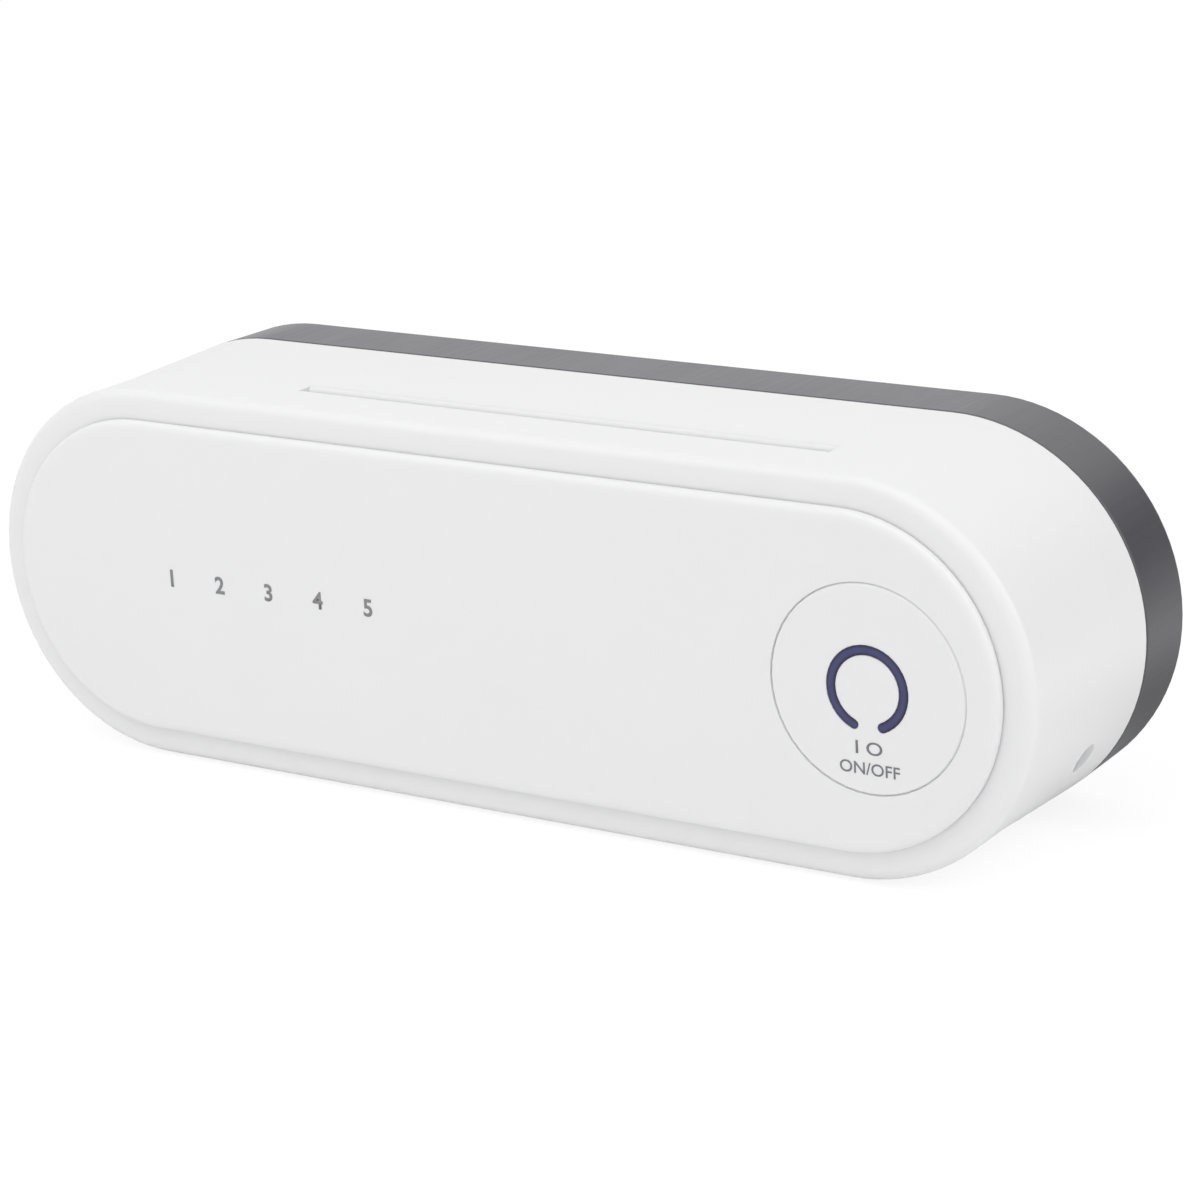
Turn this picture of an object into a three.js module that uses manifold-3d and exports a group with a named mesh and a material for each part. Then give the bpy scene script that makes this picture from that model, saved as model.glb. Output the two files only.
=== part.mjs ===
import * as THREE from 'three';
import { mergeVertices } from 'three/addons/utils/BufferGeometryUtils.js';
import Module from 'manifold-3d';

// A wall-mounted drying holder for toothbrushes, in millimetres.
// X runs to the right, the front faces -Y, Z is up, and the wall face lies at Y = 0.
// Depths are measured backward from the plane of the white front rim.

const wasm = await Module();
wasm.setup();

// Shared gaps
const seatGap = 0.25;
const fineGap = 0.1;
const edgeGap = 0.3;
const overrun = 6;

// Body outline, and how far each rim lies inside the seam between shell and case
const straightHalf = 82.4;
const seamRadius = 40;
const faceDraft = 0.73;
const neckDraft = 0.87;
const backDraft = 0.3;
const shellDepth = 45.2;
const caseDepth = 17.7;
const neckDepth = 15.2;
const rimCrownDepth = 1.9;
const rimCrownInset = 2.2;
const backEdgeRadius = 1.6;
const seamChamfer = 0.4;
const caseSeamChamfer = 0.25;

// White shell
const shellWall = 3.4;
const rimThickness = 3;
const openingEdge = 0.4;
const ledgeCover = 1.9;
const wallBite = 0.9;

// Air outlet slot in the top of the shell, and the baffle under it
const ventLeftInset = 32.4;
const ventRightInset = 8.9;
const ventDepth = 15.4;
const ventWidth = 4.4;
const ventFloorDrop = 3;
const ventFloorThickness = 1.2;
const ventFloorMargin = 1.3;
const ventEndLength = 2;

// Window in the underside, where the brush handles hang out
const windowLeftInset = 13;
const windowRightInset = 6;
const windowFront = 8;
const windowBackInset = 3;

// Posts and screws that join the rear case to the shell
const postInset = 6.8;
const postRadius = 3.6;
const ribThickness = 2;
const casePostRadius = 4.4;
const screwSeat = 5.3;
const screwShankRadius = 1.45;
const screwHeadRadius = 2.8;
const screwHeadHeight = 2.2;
const screwLength = 12;
const screwClearance = 0.15;
const screwHeadClearance = 0.4;
const screwSlotWidth = 0.8;
const screwSlotDepth = 0.7;
const screwSlotShare = 0.7;

// Dark rear case
const caseWall = 2.6;
const caseFloor = 2.5;
const tongueLength = 2.8;
const tongueThickness = 1.8;
const tongueRoot = 1.8;
const inletCount = 7;
const inletPitch = 8;
const inletWidth = 3;
const inletInset = 3.8;
const inletLength = 9;
const boardPostRadius = 3;
const boardPostInset = 6;

// Wall bracket and its adhesive pad
const bracketEndInset = 22.4;
const bracketSideInset = 20;
const bracketThickness = 1.7;
const recessDepth = 2.9;
const recessBacking = 2.6;
const recessMargin = 2.4;
const hookLength = 30;
const hookReach = 1.8;
const hookThickness = 0.8;
const padSideInset = 3;
const padThickness = 0.8;
const bracketHoleRadius = 2.2;
const bracketHoleInset = 12;
const bracketHoleMargin = 9;

// Front door
const doorInset = 6.15;
const doorProud = 2.1;
const doorThickness = 3.3;
const doorSkin = 2.1;
const doorSkirt = 2.4;
const doorOverlap = 0.8;
const doorCrown = 1.8;
const doorCrownDepth = 1;
const doorBackChamfer = 0.4;

// Door hinge: arms of the door reach round the rim to pins in the shell
const pivotDepth = 2.2;
const pivotRise = 2.63;
const pinRadius = 0.6;
const pinLength = 9.6;
const hubRadius = 1.25;
const armWidth = 3;
const armInnerRadius = 3.9;
const armThickness = 1.4;
const armWebThickness = 1.6;
const hingeBossReach = 5.3;
const hingeBossDepth = 2.2;
const hingeSlotFront = 0.7;
const pinSnapWidth = 1;
const hingeInset = 14.4;

// Door magnets and the steel plates that hold them
const magnetInset = 22.4;
const magnetRise = 6.87;
const magnetRadius = 2.5;
const magnetThickness = 1.8;
const magnetCupWall = 1.2;
const keeperRadius = 3;
const keeperThickness = 1;
const keeperShelfWidth = 8;
const keeperShelfThickness = 2;

// Power button
const buttonShift = 6.25;
const buttonDrop = 0.4;
const buttonGap = 0.2;
const buttonChamfer = 0.35;
const buttonSkin = 1.8;
const buttonFlangeReach = 1.55;
const buttonFlangeThickness = 1.2;
const buttonRimWidth = 3.9;
const buttonBossRadius = 3;

// Light ring in the button
const ringOuter = 8.5;
const ringWidth = 1.8;
const ringGapTurnShare = 0.064;
const ringDepth = 3.3;

// Cup behind the button
const cupMargin = 0.37;
const cupWall = 2.2;
const cupStepWall = 1.25;
const cupStepDepth = 6.8;
const cupBack = 9;
const coverThickness = 1.4;
const coverLipHeight = 0.3;
const coverLipWidth = 1.3;

// Parts on the button board
const buttonBoardThickness = 1.6;
const switchSide = 6;
const switchHeight = 3;
const switchBoreDepth = 2;
const plungerRadius = 1.6;
const plungerLength = 2.1;
const springRadius = 5;
const springWire = 0.25;
const springTurns = 4;
const statusLedSide = 1.6;
const statusLedHeight = 1;
const statusLedCount = 3;

// Chamber liner
const linerInset = 11.2;
const linerThickness = 2;
const linerEndInset = 30.4;
const partitionFront = 5.5;
const grilleSlots = 5;
const grilleSlotShare = 1 / 2;
const grilleInset = 6;
const stopLeftInset = 10.4;
const stopRightInset = 12;
const stopLength = 6;
const stopDepth = 2;
const stopHeight = 2;

// Brush rack
const rackLeftInset = 7;
const rackFront = 10;
const rackTopDrop = 5;
const rackThickness = 4;
const brushCount = 5;
const firstBrushReach = 9.6;
const lastBrushInset = 20;
const notchWidth = 7.5;
const notchBacking = 6;
const rackScrewRadius = 1.1;
const rackScrewLength = 11;
const rackScrewHeadRadius = 2.2;
const rackScrewHeadHeight = 1.3;

// Ultraviolet lamps above the rack
const lampBoardReach = 6;
const lampBoardDrop = 10.6;
const lampBoardHeight = 8;
const lampBoardThickness = 1.5;
const lampSide = 3.5;
const lampHeight = 1.4;
const lampPaneWall = 1.5;
const lampPaneMargin = 1;
const lampPaneDepth = 5.2;

// Warm air duct with its heater and fan
const ductInset = 13.6;
const ductWall = 2;
const ductAirRoom = 2.3;
const heaterThickness = 6;
const heaterStart = 0.7;
const heaterSlots = 6;
const heaterSlotShare = 0.7;
const heaterRimWidth = 3;
const fanStart = 8;
const fanThickness = 10;
const fanBoreWall = 1.15;
const fanStatorRadius = 7.6;
const fanStatorThickness = 1.6;
const fanStrutWidth = 2;
const fanStruts = 3;
const axleRadius = 0.8;
const impellerHubRadius = 8;
const impellerHubLength = 7.4;
const impellerHubWall = 1.4;
const impellerTipGap = 0.7;
const impellerBlades = 7;
const bladeThickness = 1.2;
const bladePitchTurnShare = 0.11;
const bladeSpan = 6.4;
const axleClearance = 0.15;

// Main board and the parts beside it
const boardLeftInset = 5;
const boardRightInset = 13;
const boardEdgeInset = 11.6;
const boardThickness = 1.6;
const chipShift = 4.5;
const chipRise = 6;
const chipSide = 10;
const chipHeight = 1.5;

// Battery and its cradle
const batteryInset = 12;
const batteryFrontRoom = 3.35;
const batteryEndRoom = 4.1;
const batteryDrop = 1.2;
const batteryBedDepth = 2;
const batteryCapRadius = 3;
const batteryCapHeight = 0.8;
const cradleWall = 1.3;
const cradleSideWall = 0.5;
const cradleFloorDepth = 6;
const cradleEndReach = 3.6;

// Charging socket in the right end
const socketStandOff = 4.75;
const socketDropShare = 0.535;
const socketHoleRadius = 2.9;
const socketBossRadius = 5.6;
const socketBossInset = 1.8;
const socketBodyHalf = 4.4;
const socketBodyLength = 9;
const socketBodyInset = 4.7;
const socketBarrelRadius = 2.7;
const socketBarrelReach = 1;
const socketBoreRadius = 1.5;
const socketBoreDepth = 9;
const socketPinRadius = 0.45;
const socketPinSetback = 1.5;

// Facets
const arcSteps = 44;
const crownSteps = 5;
const doorCrownSteps = 4;
const roundSteps = 48;
const cupSteps = 36;
const smallSteps = 20;
const screwSteps = 14;
const ringArcSteps = 36;
const ringEndSteps = 6;
const springStepsPerTurn = 12;
const springSides = 6;

// Radii that follow from the body outline
const faceRadius = seamRadius - faceDraft;
const neckRadius = seamRadius - neckDraft;
const backRadius = seamRadius - backDraft;
const shellWallRadius = seamRadius - shellWall;
const caseWallRadius = seamRadius - caseWall;
const doorRadius = faceRadius - doorInset;
const openingRadius = doorRadius - doorOverlap;
const plugRadius = openingRadius - edgeGap;
const ledgeRadius = doorRadius - ledgeCover;
const tongueRadius = shellWallRadius - seatGap;

// Depths, front to back
const bodyDepth = shellDepth + caseDepth;
const doorBack = doorThickness - doorProud;
const ledgeFront = doorBack + edgeGap;
const magnetFront = doorBack + fineGap;
const keeperFront = magnetFront + magnetThickness + seatGap;
const buttonFlangeFront = doorBack + edgeGap;
const buttonFlangeBack = buttonFlangeFront + buttonFlangeThickness;
const buttonBoardFront = cupStepDepth + seatGap;
const coverFront = cupBack + seatGap;
const coverBack = coverFront + coverThickness;
const linerFront = shellDepth - linerInset;
const linerBack = linerFront + linerThickness;
const boardFront = linerFront + seatGap;
const postFront = linerBack + fineGap;
const ductFront = linerBack + seatGap;
const tongueFront = shellDepth - tongueLength;
const ribBack = tongueFront - edgeGap;
const screwSeatDepth = shellDepth + screwSeat;
const raisedFloor = bodyDepth - recessDepth - recessBacking;
const lampBoardFront = linerFront - seatGap - lampBoardThickness;
const rackBack = linerFront - seatGap;
const notchBack = rackBack - notchBacking - notchWidth / 2;
const rackMiddle = -rackTopDrop - rackThickness / 2;
const baffleFront = ventDepth - ventWidth / 2 - ventFloorMargin;
const baffleBack = ventDepth + ventWidth / 2 + ventFloorMargin;
const inletFront = shellDepth + inletInset;
const socketDepth = boardFront - socketStandOff;
const batteryBack = boardFront - seatGap - batteryBedDepth;
const batteryFront = coverBack + batteryFrontRoom;
const batteryRadius = (batteryBack - batteryFront) / 2;
const batteryDepth = batteryBack - batteryRadius;

// Places along the length and the height
const postReach = shellWallRadius - postInset;
const postX = straightHalf + postReach * Math.SQRT1_2;
const postZ = postReach * Math.SQRT1_2;
const pivotHeight = doorRadius + pivotRise;
const hingeOffset = straightHalf - hingeInset;
const armOuterRadius = armInnerRadius + armThickness;
const armMouthReach = Math.sqrt(armInnerRadius * armInnerRadius - pivotDepth * pivotDepth);
const armMouthTop = pivotHeight - armMouthReach + edgeGap;
const magnetOffset = straightHalf - magnetInset;
const magnetDrop = doorRadius - magnetRise;
const ventLeft = ventLeftInset - straightHalf;
const ventRight = straightHalf - ventRightInset;
const ventFloor = shellWallRadius - ventFloorDrop;
const linerEnd = straightHalf - linerEndInset;
const windowLeft = windowLeftInset - straightHalf - shellWallRadius;
const windowRight = linerEnd - windowRightInset;
const rackLeft = rackLeftInset - straightHalf - shellWallRadius;
const rackRight = linerEnd - linerThickness - edgeGap;
const firstBrush = -straightHalf - firstBrushReach;
const lastBrush = linerEnd - lastBrushInset;
const brushPitch = (lastBrush - firstBrush) / (brushCount - 1);
const ductX = (firstBrush + lastBrush) / 2;
const ductSide = 2 * (shellWallRadius - ductInset);
const ductBore = ductSide - 2 * ductWall;
const ductCoreSide = ductBore - 2 * seatGap;
const fanBoreRadius = ductCoreSide / 2 - fanBoreWall;
const lampBoardTop = shellWallRadius - lampBoardDrop;
const lampBoardBottom = lampBoardTop - lampBoardHeight;
const boardLeft = linerEnd + boardLeftInset;
const boardRight = straightHalf + shellWallRadius - boardRightInset;
const boardHalfHeight = shellWallRadius - boardEdgeInset;
const boardPostX = boardLeft + boardPostInset;
const boardPostZ = boardHalfHeight - boardPostInset;
const batteryX = linerEnd + batteryInset;
const batteryLength = 2 * (shellWallRadius - batteryEndRoom);
const bracketHalfLength = straightHalf - bracketEndInset;
const bracketHalfHeight = seamRadius - bracketSideInset;
const bracketHoleOffset = bracketHalfLength - bracketHoleInset;
const padLength = 2 * (bracketHoleOffset - bracketHoleMargin);
const padHeight = 2 * (bracketHalfHeight - padSideInset);
const buttonX = straightHalf + buttonShift;
const buttonZ = -buttonDrop;
const cupOuterRadius = ledgeRadius - buttonShift - cupMargin;
const cupInnerRadius = cupOuterRadius - cupWall;
const cupBoardRadius = cupOuterRadius - cupStepWall - seatGap;
const buttonRadius = cupInnerRadius - edgeGap - fineGap - buttonFlangeReach - fineGap;
const ringInner = ringOuter - ringWidth;
const socketZ = -shellWallRadius * socketDropShare;
const socketWallX = straightHalf + Math.sqrt(shellWallRadius * shellWallRadius - socketZ * socketZ);
const socketBossLeft = socketWallX - socketBossInset;
const socketBodyRight = socketWallX - socketBodyInset;
const socketBodyLeft = socketBodyRight - socketBodyLength;
const socketBarrelEnd = socketWallX + socketBarrelReach;

// Converts a depth behind the rim plane into a Y coordinate.
function atDepth(depth) {
  return depth - bodyDepth;
}

// Turns a closed geometry into a solid for cutting and joining.
function toSolid(geometry) {
  const bare = geometry.clone();
  bare.deleteAttribute('normal');
  bare.deleteAttribute('uv');
  const merged = mergeVertices(bare);
  return new wasm.Manifold(new wasm.Mesh({
    numProp: 3,
    vertProperties: new Float32Array(merged.attributes.position.array),
    triVerts: new Uint32Array(merged.index.array),
  }));
}

// Turns a solid back into a geometry.
function toGeometry(solid) {
  const mesh = solid.getMesh();
  const geometry = new THREE.BufferGeometry();
  geometry.setAttribute('position', new THREE.BufferAttribute(new Float32Array(mesh.vertProperties), 3));
  geometry.setIndex(new THREE.BufferAttribute(new Uint32Array(mesh.triVerts), 1));
  const flat = geometry.toNonIndexed();
  flat.computeVertexNormals();
  return flat;
}

// Joins several solids into one.
function join(solids) {
  return solids.reduce((whole, piece) => whole.add(piece));
}

// Takes several cutting solids out of one solid.
function cut(solid, cutters) {
  return cutters.reduce((whole, cutter) => whole.subtract(cutter), solid);
}

// Skins a row of equal rings and closes both ends.
function loft(rings) {
  const count = rings[0].length;
  const positions = rings.flat().flatMap((point) => [point.x, point.y, point.z]);
  const faces = [];
  for (let ring = 0; ring + 1 < rings.length; ring += 1) {
    for (let step = 0; step < count; step += 1) {
      const next = (step + 1) % count;
      const here = ring * count;
      const there = here + count;
      faces.push(here + step, there + step, there + next);
      faces.push(here + step, there + next, here + next);
    }
  }
  const last = (rings.length - 1) * count;
  for (let step = 1; step + 1 < count; step += 1) {
    faces.push(0, step, step + 1);
    faces.push(last, last + step + 1, last + step);
  }
  const geometry = new THREE.BufferGeometry();
  geometry.setAttribute('position', new THREE.Float32BufferAttribute(positions, 3));
  geometry.setIndex(faces);
  return toSolid(geometry);
}

// The outline of the body at one depth: two half circles joined by straight runs.
function pillRing({ depth, radius }) {
  const ring = [];
  for (const side of [1, -1]) {
    for (let step = 0; step <= arcSteps; step += 1) {
      const angle = Math.PI * (step / arcSteps - 1 / 2) + (side < 0 ? Math.PI : 0);
      ring.push(new THREE.Vector3(
        side * straightHalf + radius * Math.cos(angle),
        atDepth(depth),
        radius * Math.sin(angle),
      ));
    }
  }
  return ring;
}

// A solid that follows the body outline through a row of depths and radii, front to back.
function pillBody(stations) {
  return loft(stations.map(pillRing));
}

// A box between six faces; front and back are depths.
function block({ left, right, front, back, bottom, top }) {
  const geometry = new THREE.BoxGeometry(right - left, back - front, top - bottom);
  geometry.translate((left + right) / 2, atDepth((front + back) / 2), (bottom + top) / 2);
  return toSolid(geometry);
}

// A round bar along Y between two depths.
function barAlongDepth({ x, z, radius, front, back, steps = smallSteps }) {
  const geometry = new THREE.CylinderGeometry(radius, radius, back - front, steps);
  geometry.translate(x, atDepth((front + back) / 2), z);
  return toSolid(geometry);
}

// A round bar along X.
function barAcross({ left, right, depth, z, radius, steps = smallSteps }) {
  const geometry = new THREE.CylinderGeometry(radius, radius, right - left, steps);
  geometry.rotateZ(Math.PI / 2);
  geometry.translate((left + right) / 2, atDepth(depth), z);
  return toSolid(geometry);
}

// A round bar along Z.
function barUpright({ x, depth, radius, bottom, top, steps = smallSteps }) {
  const geometry = new THREE.CylinderGeometry(radius, radius, top - bottom, steps);
  geometry.rotateX(Math.PI / 2);
  geometry.translate(x, atDepth(depth), (bottom + top) / 2);
  return toSolid(geometry);
}

// A round body along Y about the button's axis, from rows of radius and depth.
function turned(profile) {
  const points = profile.map(([radius, depth]) => new THREE.Vector2(radius, depth));
  const geometry = new THREE.LatheGeometry(points, roundSteps);
  geometry.translate(buttonX, -bodyDepth, buttonZ);
  return toSolid(geometry);
}

// Depths and radii of a rounded edge, from the front around onto the side.
function crown({ side, inset, drop, frontDepth, steps }) {
  return Array.from({ length: steps + 1 }, (_, step) => {
    const angle = (Math.PI / 2) * (step / steps);
    return {
      depth: frontDepth + drop * (1 - Math.cos(angle)),
      radius: side - inset * (1 - Math.sin(angle)),
    };
  });
}

// The four places where screws join the case to the shell.
const screwPlaces = [
  { x: -postX, z: postZ },
  { x: postX, z: postZ },
  { x: -postX, z: -postZ },
  { x: postX, z: -postZ },
];

// One shell post with the rib that ties it to the wall.
function shellPost({ x, z }) {
  const side = Math.sign(x);
  const rise = Math.sign(z);
  const post = barAlongDepth({ x, z, radius: postRadius, front: postFront, back: shellDepth });
  const ribLength = shellWallRadius + wallBite - postReach;
  const rib = new THREE.BoxGeometry(ribLength, ribBack - postFront, ribThickness);
  rib.translate(postReach + ribLength / 2, 0, 0);
  rib.rotateY(-rise * side * (Math.PI / 4) + (side < 0 ? Math.PI : 0));
  rib.translate(side * straightHalf, atDepth((postFront + ribBack) / 2), 0);
  return post.add(toSolid(rib));
}

// One boss of the shell that carries a hinge pin.
function hingeBoss(x) {
  return block({
    left: x - hingeBossReach,
    right: x + hingeBossReach,
    front: hingeSlotFront,
    back: pivotDepth + hingeBossDepth,
    bottom: openingRadius + seatGap,
    top: shellWallRadius + wallBite,
  });
}

// The slot, the bore and the snap-in channel of one hinge boss.
function hingeRoom(x) {
  const left = x - hingeBossReach;
  const right = x + hingeBossReach;
  const slot = {
    left: x - armWidth / 2 - edgeGap,
    right: x + armWidth / 2 + edgeGap,
    bottom: ledgeRadius - ledgeCover,
  };
  return [
    block({
      ...slot,
      front: hingeSlotFront,
      back: pivotDepth + armOuterRadius + edgeGap,
      top: pivotHeight + hubRadius + seatGap,
    }),
    block({ ...slot, front: -overrun, back: pivotDepth, top: armMouthTop }),
    barAcross({ left, right, depth: pivotDepth, z: pivotHeight, radius: pinRadius + fineGap }),
    block({
      left,
      right,
      front: pivotDepth,
      back: pivotDepth + armOuterRadius,
      bottom: pivotHeight - pinSnapWidth / 2,
      top: pivotHeight + pinSnapWidth / 2,
    }),
  ];
}

// One shelf of the shell behind a door magnet.
function keeperShelf(x) {
  const front = keeperFront + keeperThickness + fineGap;
  return block({
    left: x - keeperShelfWidth / 2,
    right: x + keeperShelfWidth / 2,
    front,
    back: front + keeperShelfThickness,
    bottom: -shellWallRadius - wallBite,
    top: keeperRadius - magnetDrop,
  });
}

// One small stop of the shell that the chamber liner rests against.
function linerStop(x, rise) {
  const outer = rise * (shellWallRadius + wallBite);
  const inner = rise * (shellWallRadius - stopHeight);
  return block({
    left: x - stopLength / 2,
    right: x + stopLength / 2,
    front: linerFront - seatGap - stopDepth,
    back: linerFront - seatGap,
    bottom: Math.min(outer, inner),
    top: Math.max(outer, inner),
  });
}

// The white shell with its rim, slot, window, posts and socket boss.
function makeShell() {
  const outer = pillBody([
    ...crown({
      side: faceRadius,
      inset: rimCrownInset,
      drop: rimCrownDepth,
      frontDepth: 0,
      steps: crownSteps,
    }),
    { depth: neckDepth, radius: neckRadius },
    { depth: shellDepth - seamChamfer, radius: seamRadius },
    { depth: shellDepth, radius: seamRadius - seamChamfer },
  ]);
  const hollow = pillBody([
    { depth: -overrun, radius: openingRadius + openingEdge },
    { depth: 0, radius: openingRadius + openingEdge },
    { depth: openingEdge, radius: openingRadius },
    { depth: ledgeFront, radius: openingRadius },
    { depth: ledgeFront, radius: ledgeRadius },
    { depth: rimThickness, radius: ledgeRadius },
    { depth: rimThickness, radius: shellWallRadius },
    { depth: shellDepth + overrun, radius: shellWallRadius },
  ]);
  const vent = block({
    left: ventLeft,
    right: ventRight,
    front: ventDepth - ventWidth / 2,
    back: ventDepth + ventWidth / 2,
    bottom: shellWallRadius - overrun,
    top: shellWallRadius + overrun,
  });
  const windowBack = linerFront - windowBackInset;
  const windowEnd = (windowBack - windowFront) / 2;
  const windowDepth = (windowFront + windowBack) / 2;
  const windowTop = overrun - shellWallRadius;
  const windowBottom = -shellWallRadius - overrun;
  const windowEnds = [windowLeft + windowEnd, windowRight - windowEnd];
  const brushWindow = join([
    block({
      left: windowEnds[0],
      right: windowEnds[1],
      front: windowFront,
      back: windowBack,
      bottom: windowBottom,
      top: windowTop,
    }),
    ...windowEnds.map((x) => barUpright({
      x, depth: windowDepth, radius: windowEnd, bottom: windowBottom, top: windowTop,
    })),
  ]);
  const boss = barAcross({
    left: socketBossLeft,
    right: straightHalf + faceRadius,
    depth: socketDepth,
    z: socketZ,
    radius: socketBossRadius,
  }).intersect(outer);
  const socketHole = barAcross({
    left: socketBossLeft - overrun,
    right: straightHalf + faceRadius,
    depth: socketDepth,
    z: socketZ,
    radius: socketHoleRadius,
    steps: 2 * smallSteps,
  });
  const additions = [
    boss,
    ...screwPlaces.map(shellPost),
    ...[-hingeOffset, hingeOffset].map(hingeBoss),
    ...[-magnetOffset, magnetOffset].map(keeperShelf),
    ...[stopLeftInset - straightHalf, linerEnd - stopRightInset].flatMap((x) => [
      linerStop(x, 1),
      linerStop(x, -1),
    ]),
  ];
  const hingeRooms = [-hingeOffset, hingeOffset].flatMap(hingeRoom);
  const pilots = screwPlaces.map(({ x, z }) => barAlongDepth({
    x,
    z,
    radius: screwShankRadius + screwClearance,
    front: screwSeatDepth - screwLength - seatGap,
    back: shellDepth + overrun,
  }));
  const hull = cut(outer, [hollow]);
  return cut(join([hull, ...additions]), [vent, brushWindow, socketHole, ...hingeRooms, ...pilots]);
}

// The dark rear case that closes the back of the shell.
function makeRearCase() {
  const edge = crown({
    side: backRadius,
    inset: backEdgeRadius,
    drop: backEdgeRadius,
    frontDepth: 0,
    steps: crownSteps,
  }).map(({ depth, radius }) => ({ depth: bodyDepth - depth, radius })).reverse();
  const seam = shellDepth + seatGap;
  const outer = pillBody([
    { depth: tongueFront, radius: tongueRadius },
    { depth: seam, radius: tongueRadius },
    { depth: seam, radius: seamRadius - caseSeamChamfer },
    { depth: seam + caseSeamChamfer, radius: seamRadius },
    ...edge,
  ]);
  const hollow = pillBody([
    { depth: tongueFront - overrun, radius: tongueRadius - tongueThickness },
    { depth: seam + tongueRoot, radius: tongueRadius - tongueThickness },
    { depth: seam + tongueRoot, radius: caseWallRadius },
    { depth: bodyDepth - caseFloor, radius: caseWallRadius },
  ]);
  const backing = block({
    left: -bracketHalfLength - recessMargin,
    right: bracketHalfLength + recessMargin,
    front: raisedFloor,
    back: bodyDepth - caseFloor + seatGap,
    bottom: -bracketHalfHeight - recessMargin,
    top: bracketHalfHeight + recessMargin,
  });
  const posts = screwPlaces.map(({ x, z }) => barAlongDepth({
    x, z, radius: casePostRadius, front: seam, back: bodyDepth - caseFloor + seatGap,
  }));
  const boardPosts = [boardPostZ, -boardPostZ].map((z) => barAlongDepth({
    x: boardPostX,
    z,
    radius: boardPostRadius,
    front: boardFront + boardThickness + seatGap,
    back: bodyDepth - caseFloor + seatGap,
  }));
  const recess = block({
    left: -bracketHalfLength - seatGap,
    right: bracketHalfLength + seatGap,
    front: bodyDepth - recessDepth,
    back: bodyDepth + overrun,
    bottom: -bracketHalfHeight - seatGap,
    top: bracketHalfHeight + seatGap,
  });
  const undercut = block({
    left: -hookLength / 2 - seatGap,
    right: hookLength / 2 + seatGap,
    front: bodyDepth - recessDepth,
    back: bodyDepth - recessDepth + hookThickness + 2 * seatGap,
    bottom: 0,
    top: bracketHalfHeight + hookReach + seatGap,
  });
  const holes = screwPlaces.flatMap(({ x, z }) => [
    barAlongDepth({
      x, z, radius: screwShankRadius + screwHeadClearance, front: shellDepth, back: bodyDepth,
    }),
    barAlongDepth({
      x,
      z,
      radius: screwHeadRadius + screwHeadClearance,
      front: screwSeatDepth,
      back: bodyDepth + overrun,
    }),
  ]);
  const inlets = [];
  for (let index = 0; index < inletCount; index += 1) {
    const x = ductX + inletPitch * (index - (inletCount - 1) / 2);
    inlets.push(block({
      left: x - inletWidth / 2,
      right: x + inletWidth / 2,
      front: inletFront,
      back: inletFront + inletLength,
      bottom: -seamRadius - overrun,
      top: -caseWallRadius + overrun,
    }));
  }
  const hull = cut(outer, [hollow]);
  return cut(join([hull, backing, ...posts, ...boardPosts]), [recess, undercut, ...holes, ...inlets]);
}

// The four screws of the rear case.
function makeCaseScrew({ x, z }) {
  const shank = barAlongDepth({
    x,
    z,
    radius: screwShankRadius,
    front: screwSeatDepth - screwLength,
    back: screwSeatDepth + seatGap,
    steps: screwSteps,
  });
  const headFront = screwSeatDepth + fineGap;
  const headBack = headFront + screwHeadHeight;
  const head = barAlongDepth({
    x, z, radius: screwHeadRadius, front: headFront, back: headBack, steps: smallSteps,
  });
  const slotHalf = screwHeadRadius * screwSlotShare;
  const slots = [
    block({
      left: x - slotHalf,
      right: x + slotHalf,
      front: headBack - screwSlotDepth,
      back: headBack + overrun,
      bottom: z - screwSlotWidth / 2,
      top: z + screwSlotWidth / 2,
    }),
    block({
      left: x - screwSlotWidth / 2,
      right: x + screwSlotWidth / 2,
      front: headBack - screwSlotDepth,
      back: headBack + overrun,
      bottom: z - slotHalf,
      top: z + slotHalf,
    }),
  ];
  return cut(shank.add(head), slots);
}

// The flat bracket that hooks into the recess of the rear case.
function makeWallBracket() {
  const front = bodyDepth - recessDepth + seatGap;
  const plate = block({
    left: -bracketHalfLength,
    right: bracketHalfLength,
    front,
    back: front + bracketThickness,
    bottom: -bracketHalfHeight,
    top: bracketHalfHeight,
  });
  const hook = block({
    left: -hookLength / 2,
    right: hookLength / 2,
    front,
    back: front + hookThickness,
    bottom: 0,
    top: bracketHalfHeight + hookReach,
  });
  const holes = [-bracketHoleOffset, bracketHoleOffset].map((x) => barAlongDepth({
    x, z: 0, radius: bracketHoleRadius, front: front - overrun, back: bodyDepth,
  }));
  return cut(plate.add(hook), holes);
}

// The adhesive pad on the back of the bracket.
function makeAdhesivePad() {
  return block({
    left: -padLength / 2,
    right: padLength / 2,
    front: bodyDepth - padThickness,
    back: bodyDepth,
    bottom: -padHeight / 2,
    top: padHeight / 2,
  });
}

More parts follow.
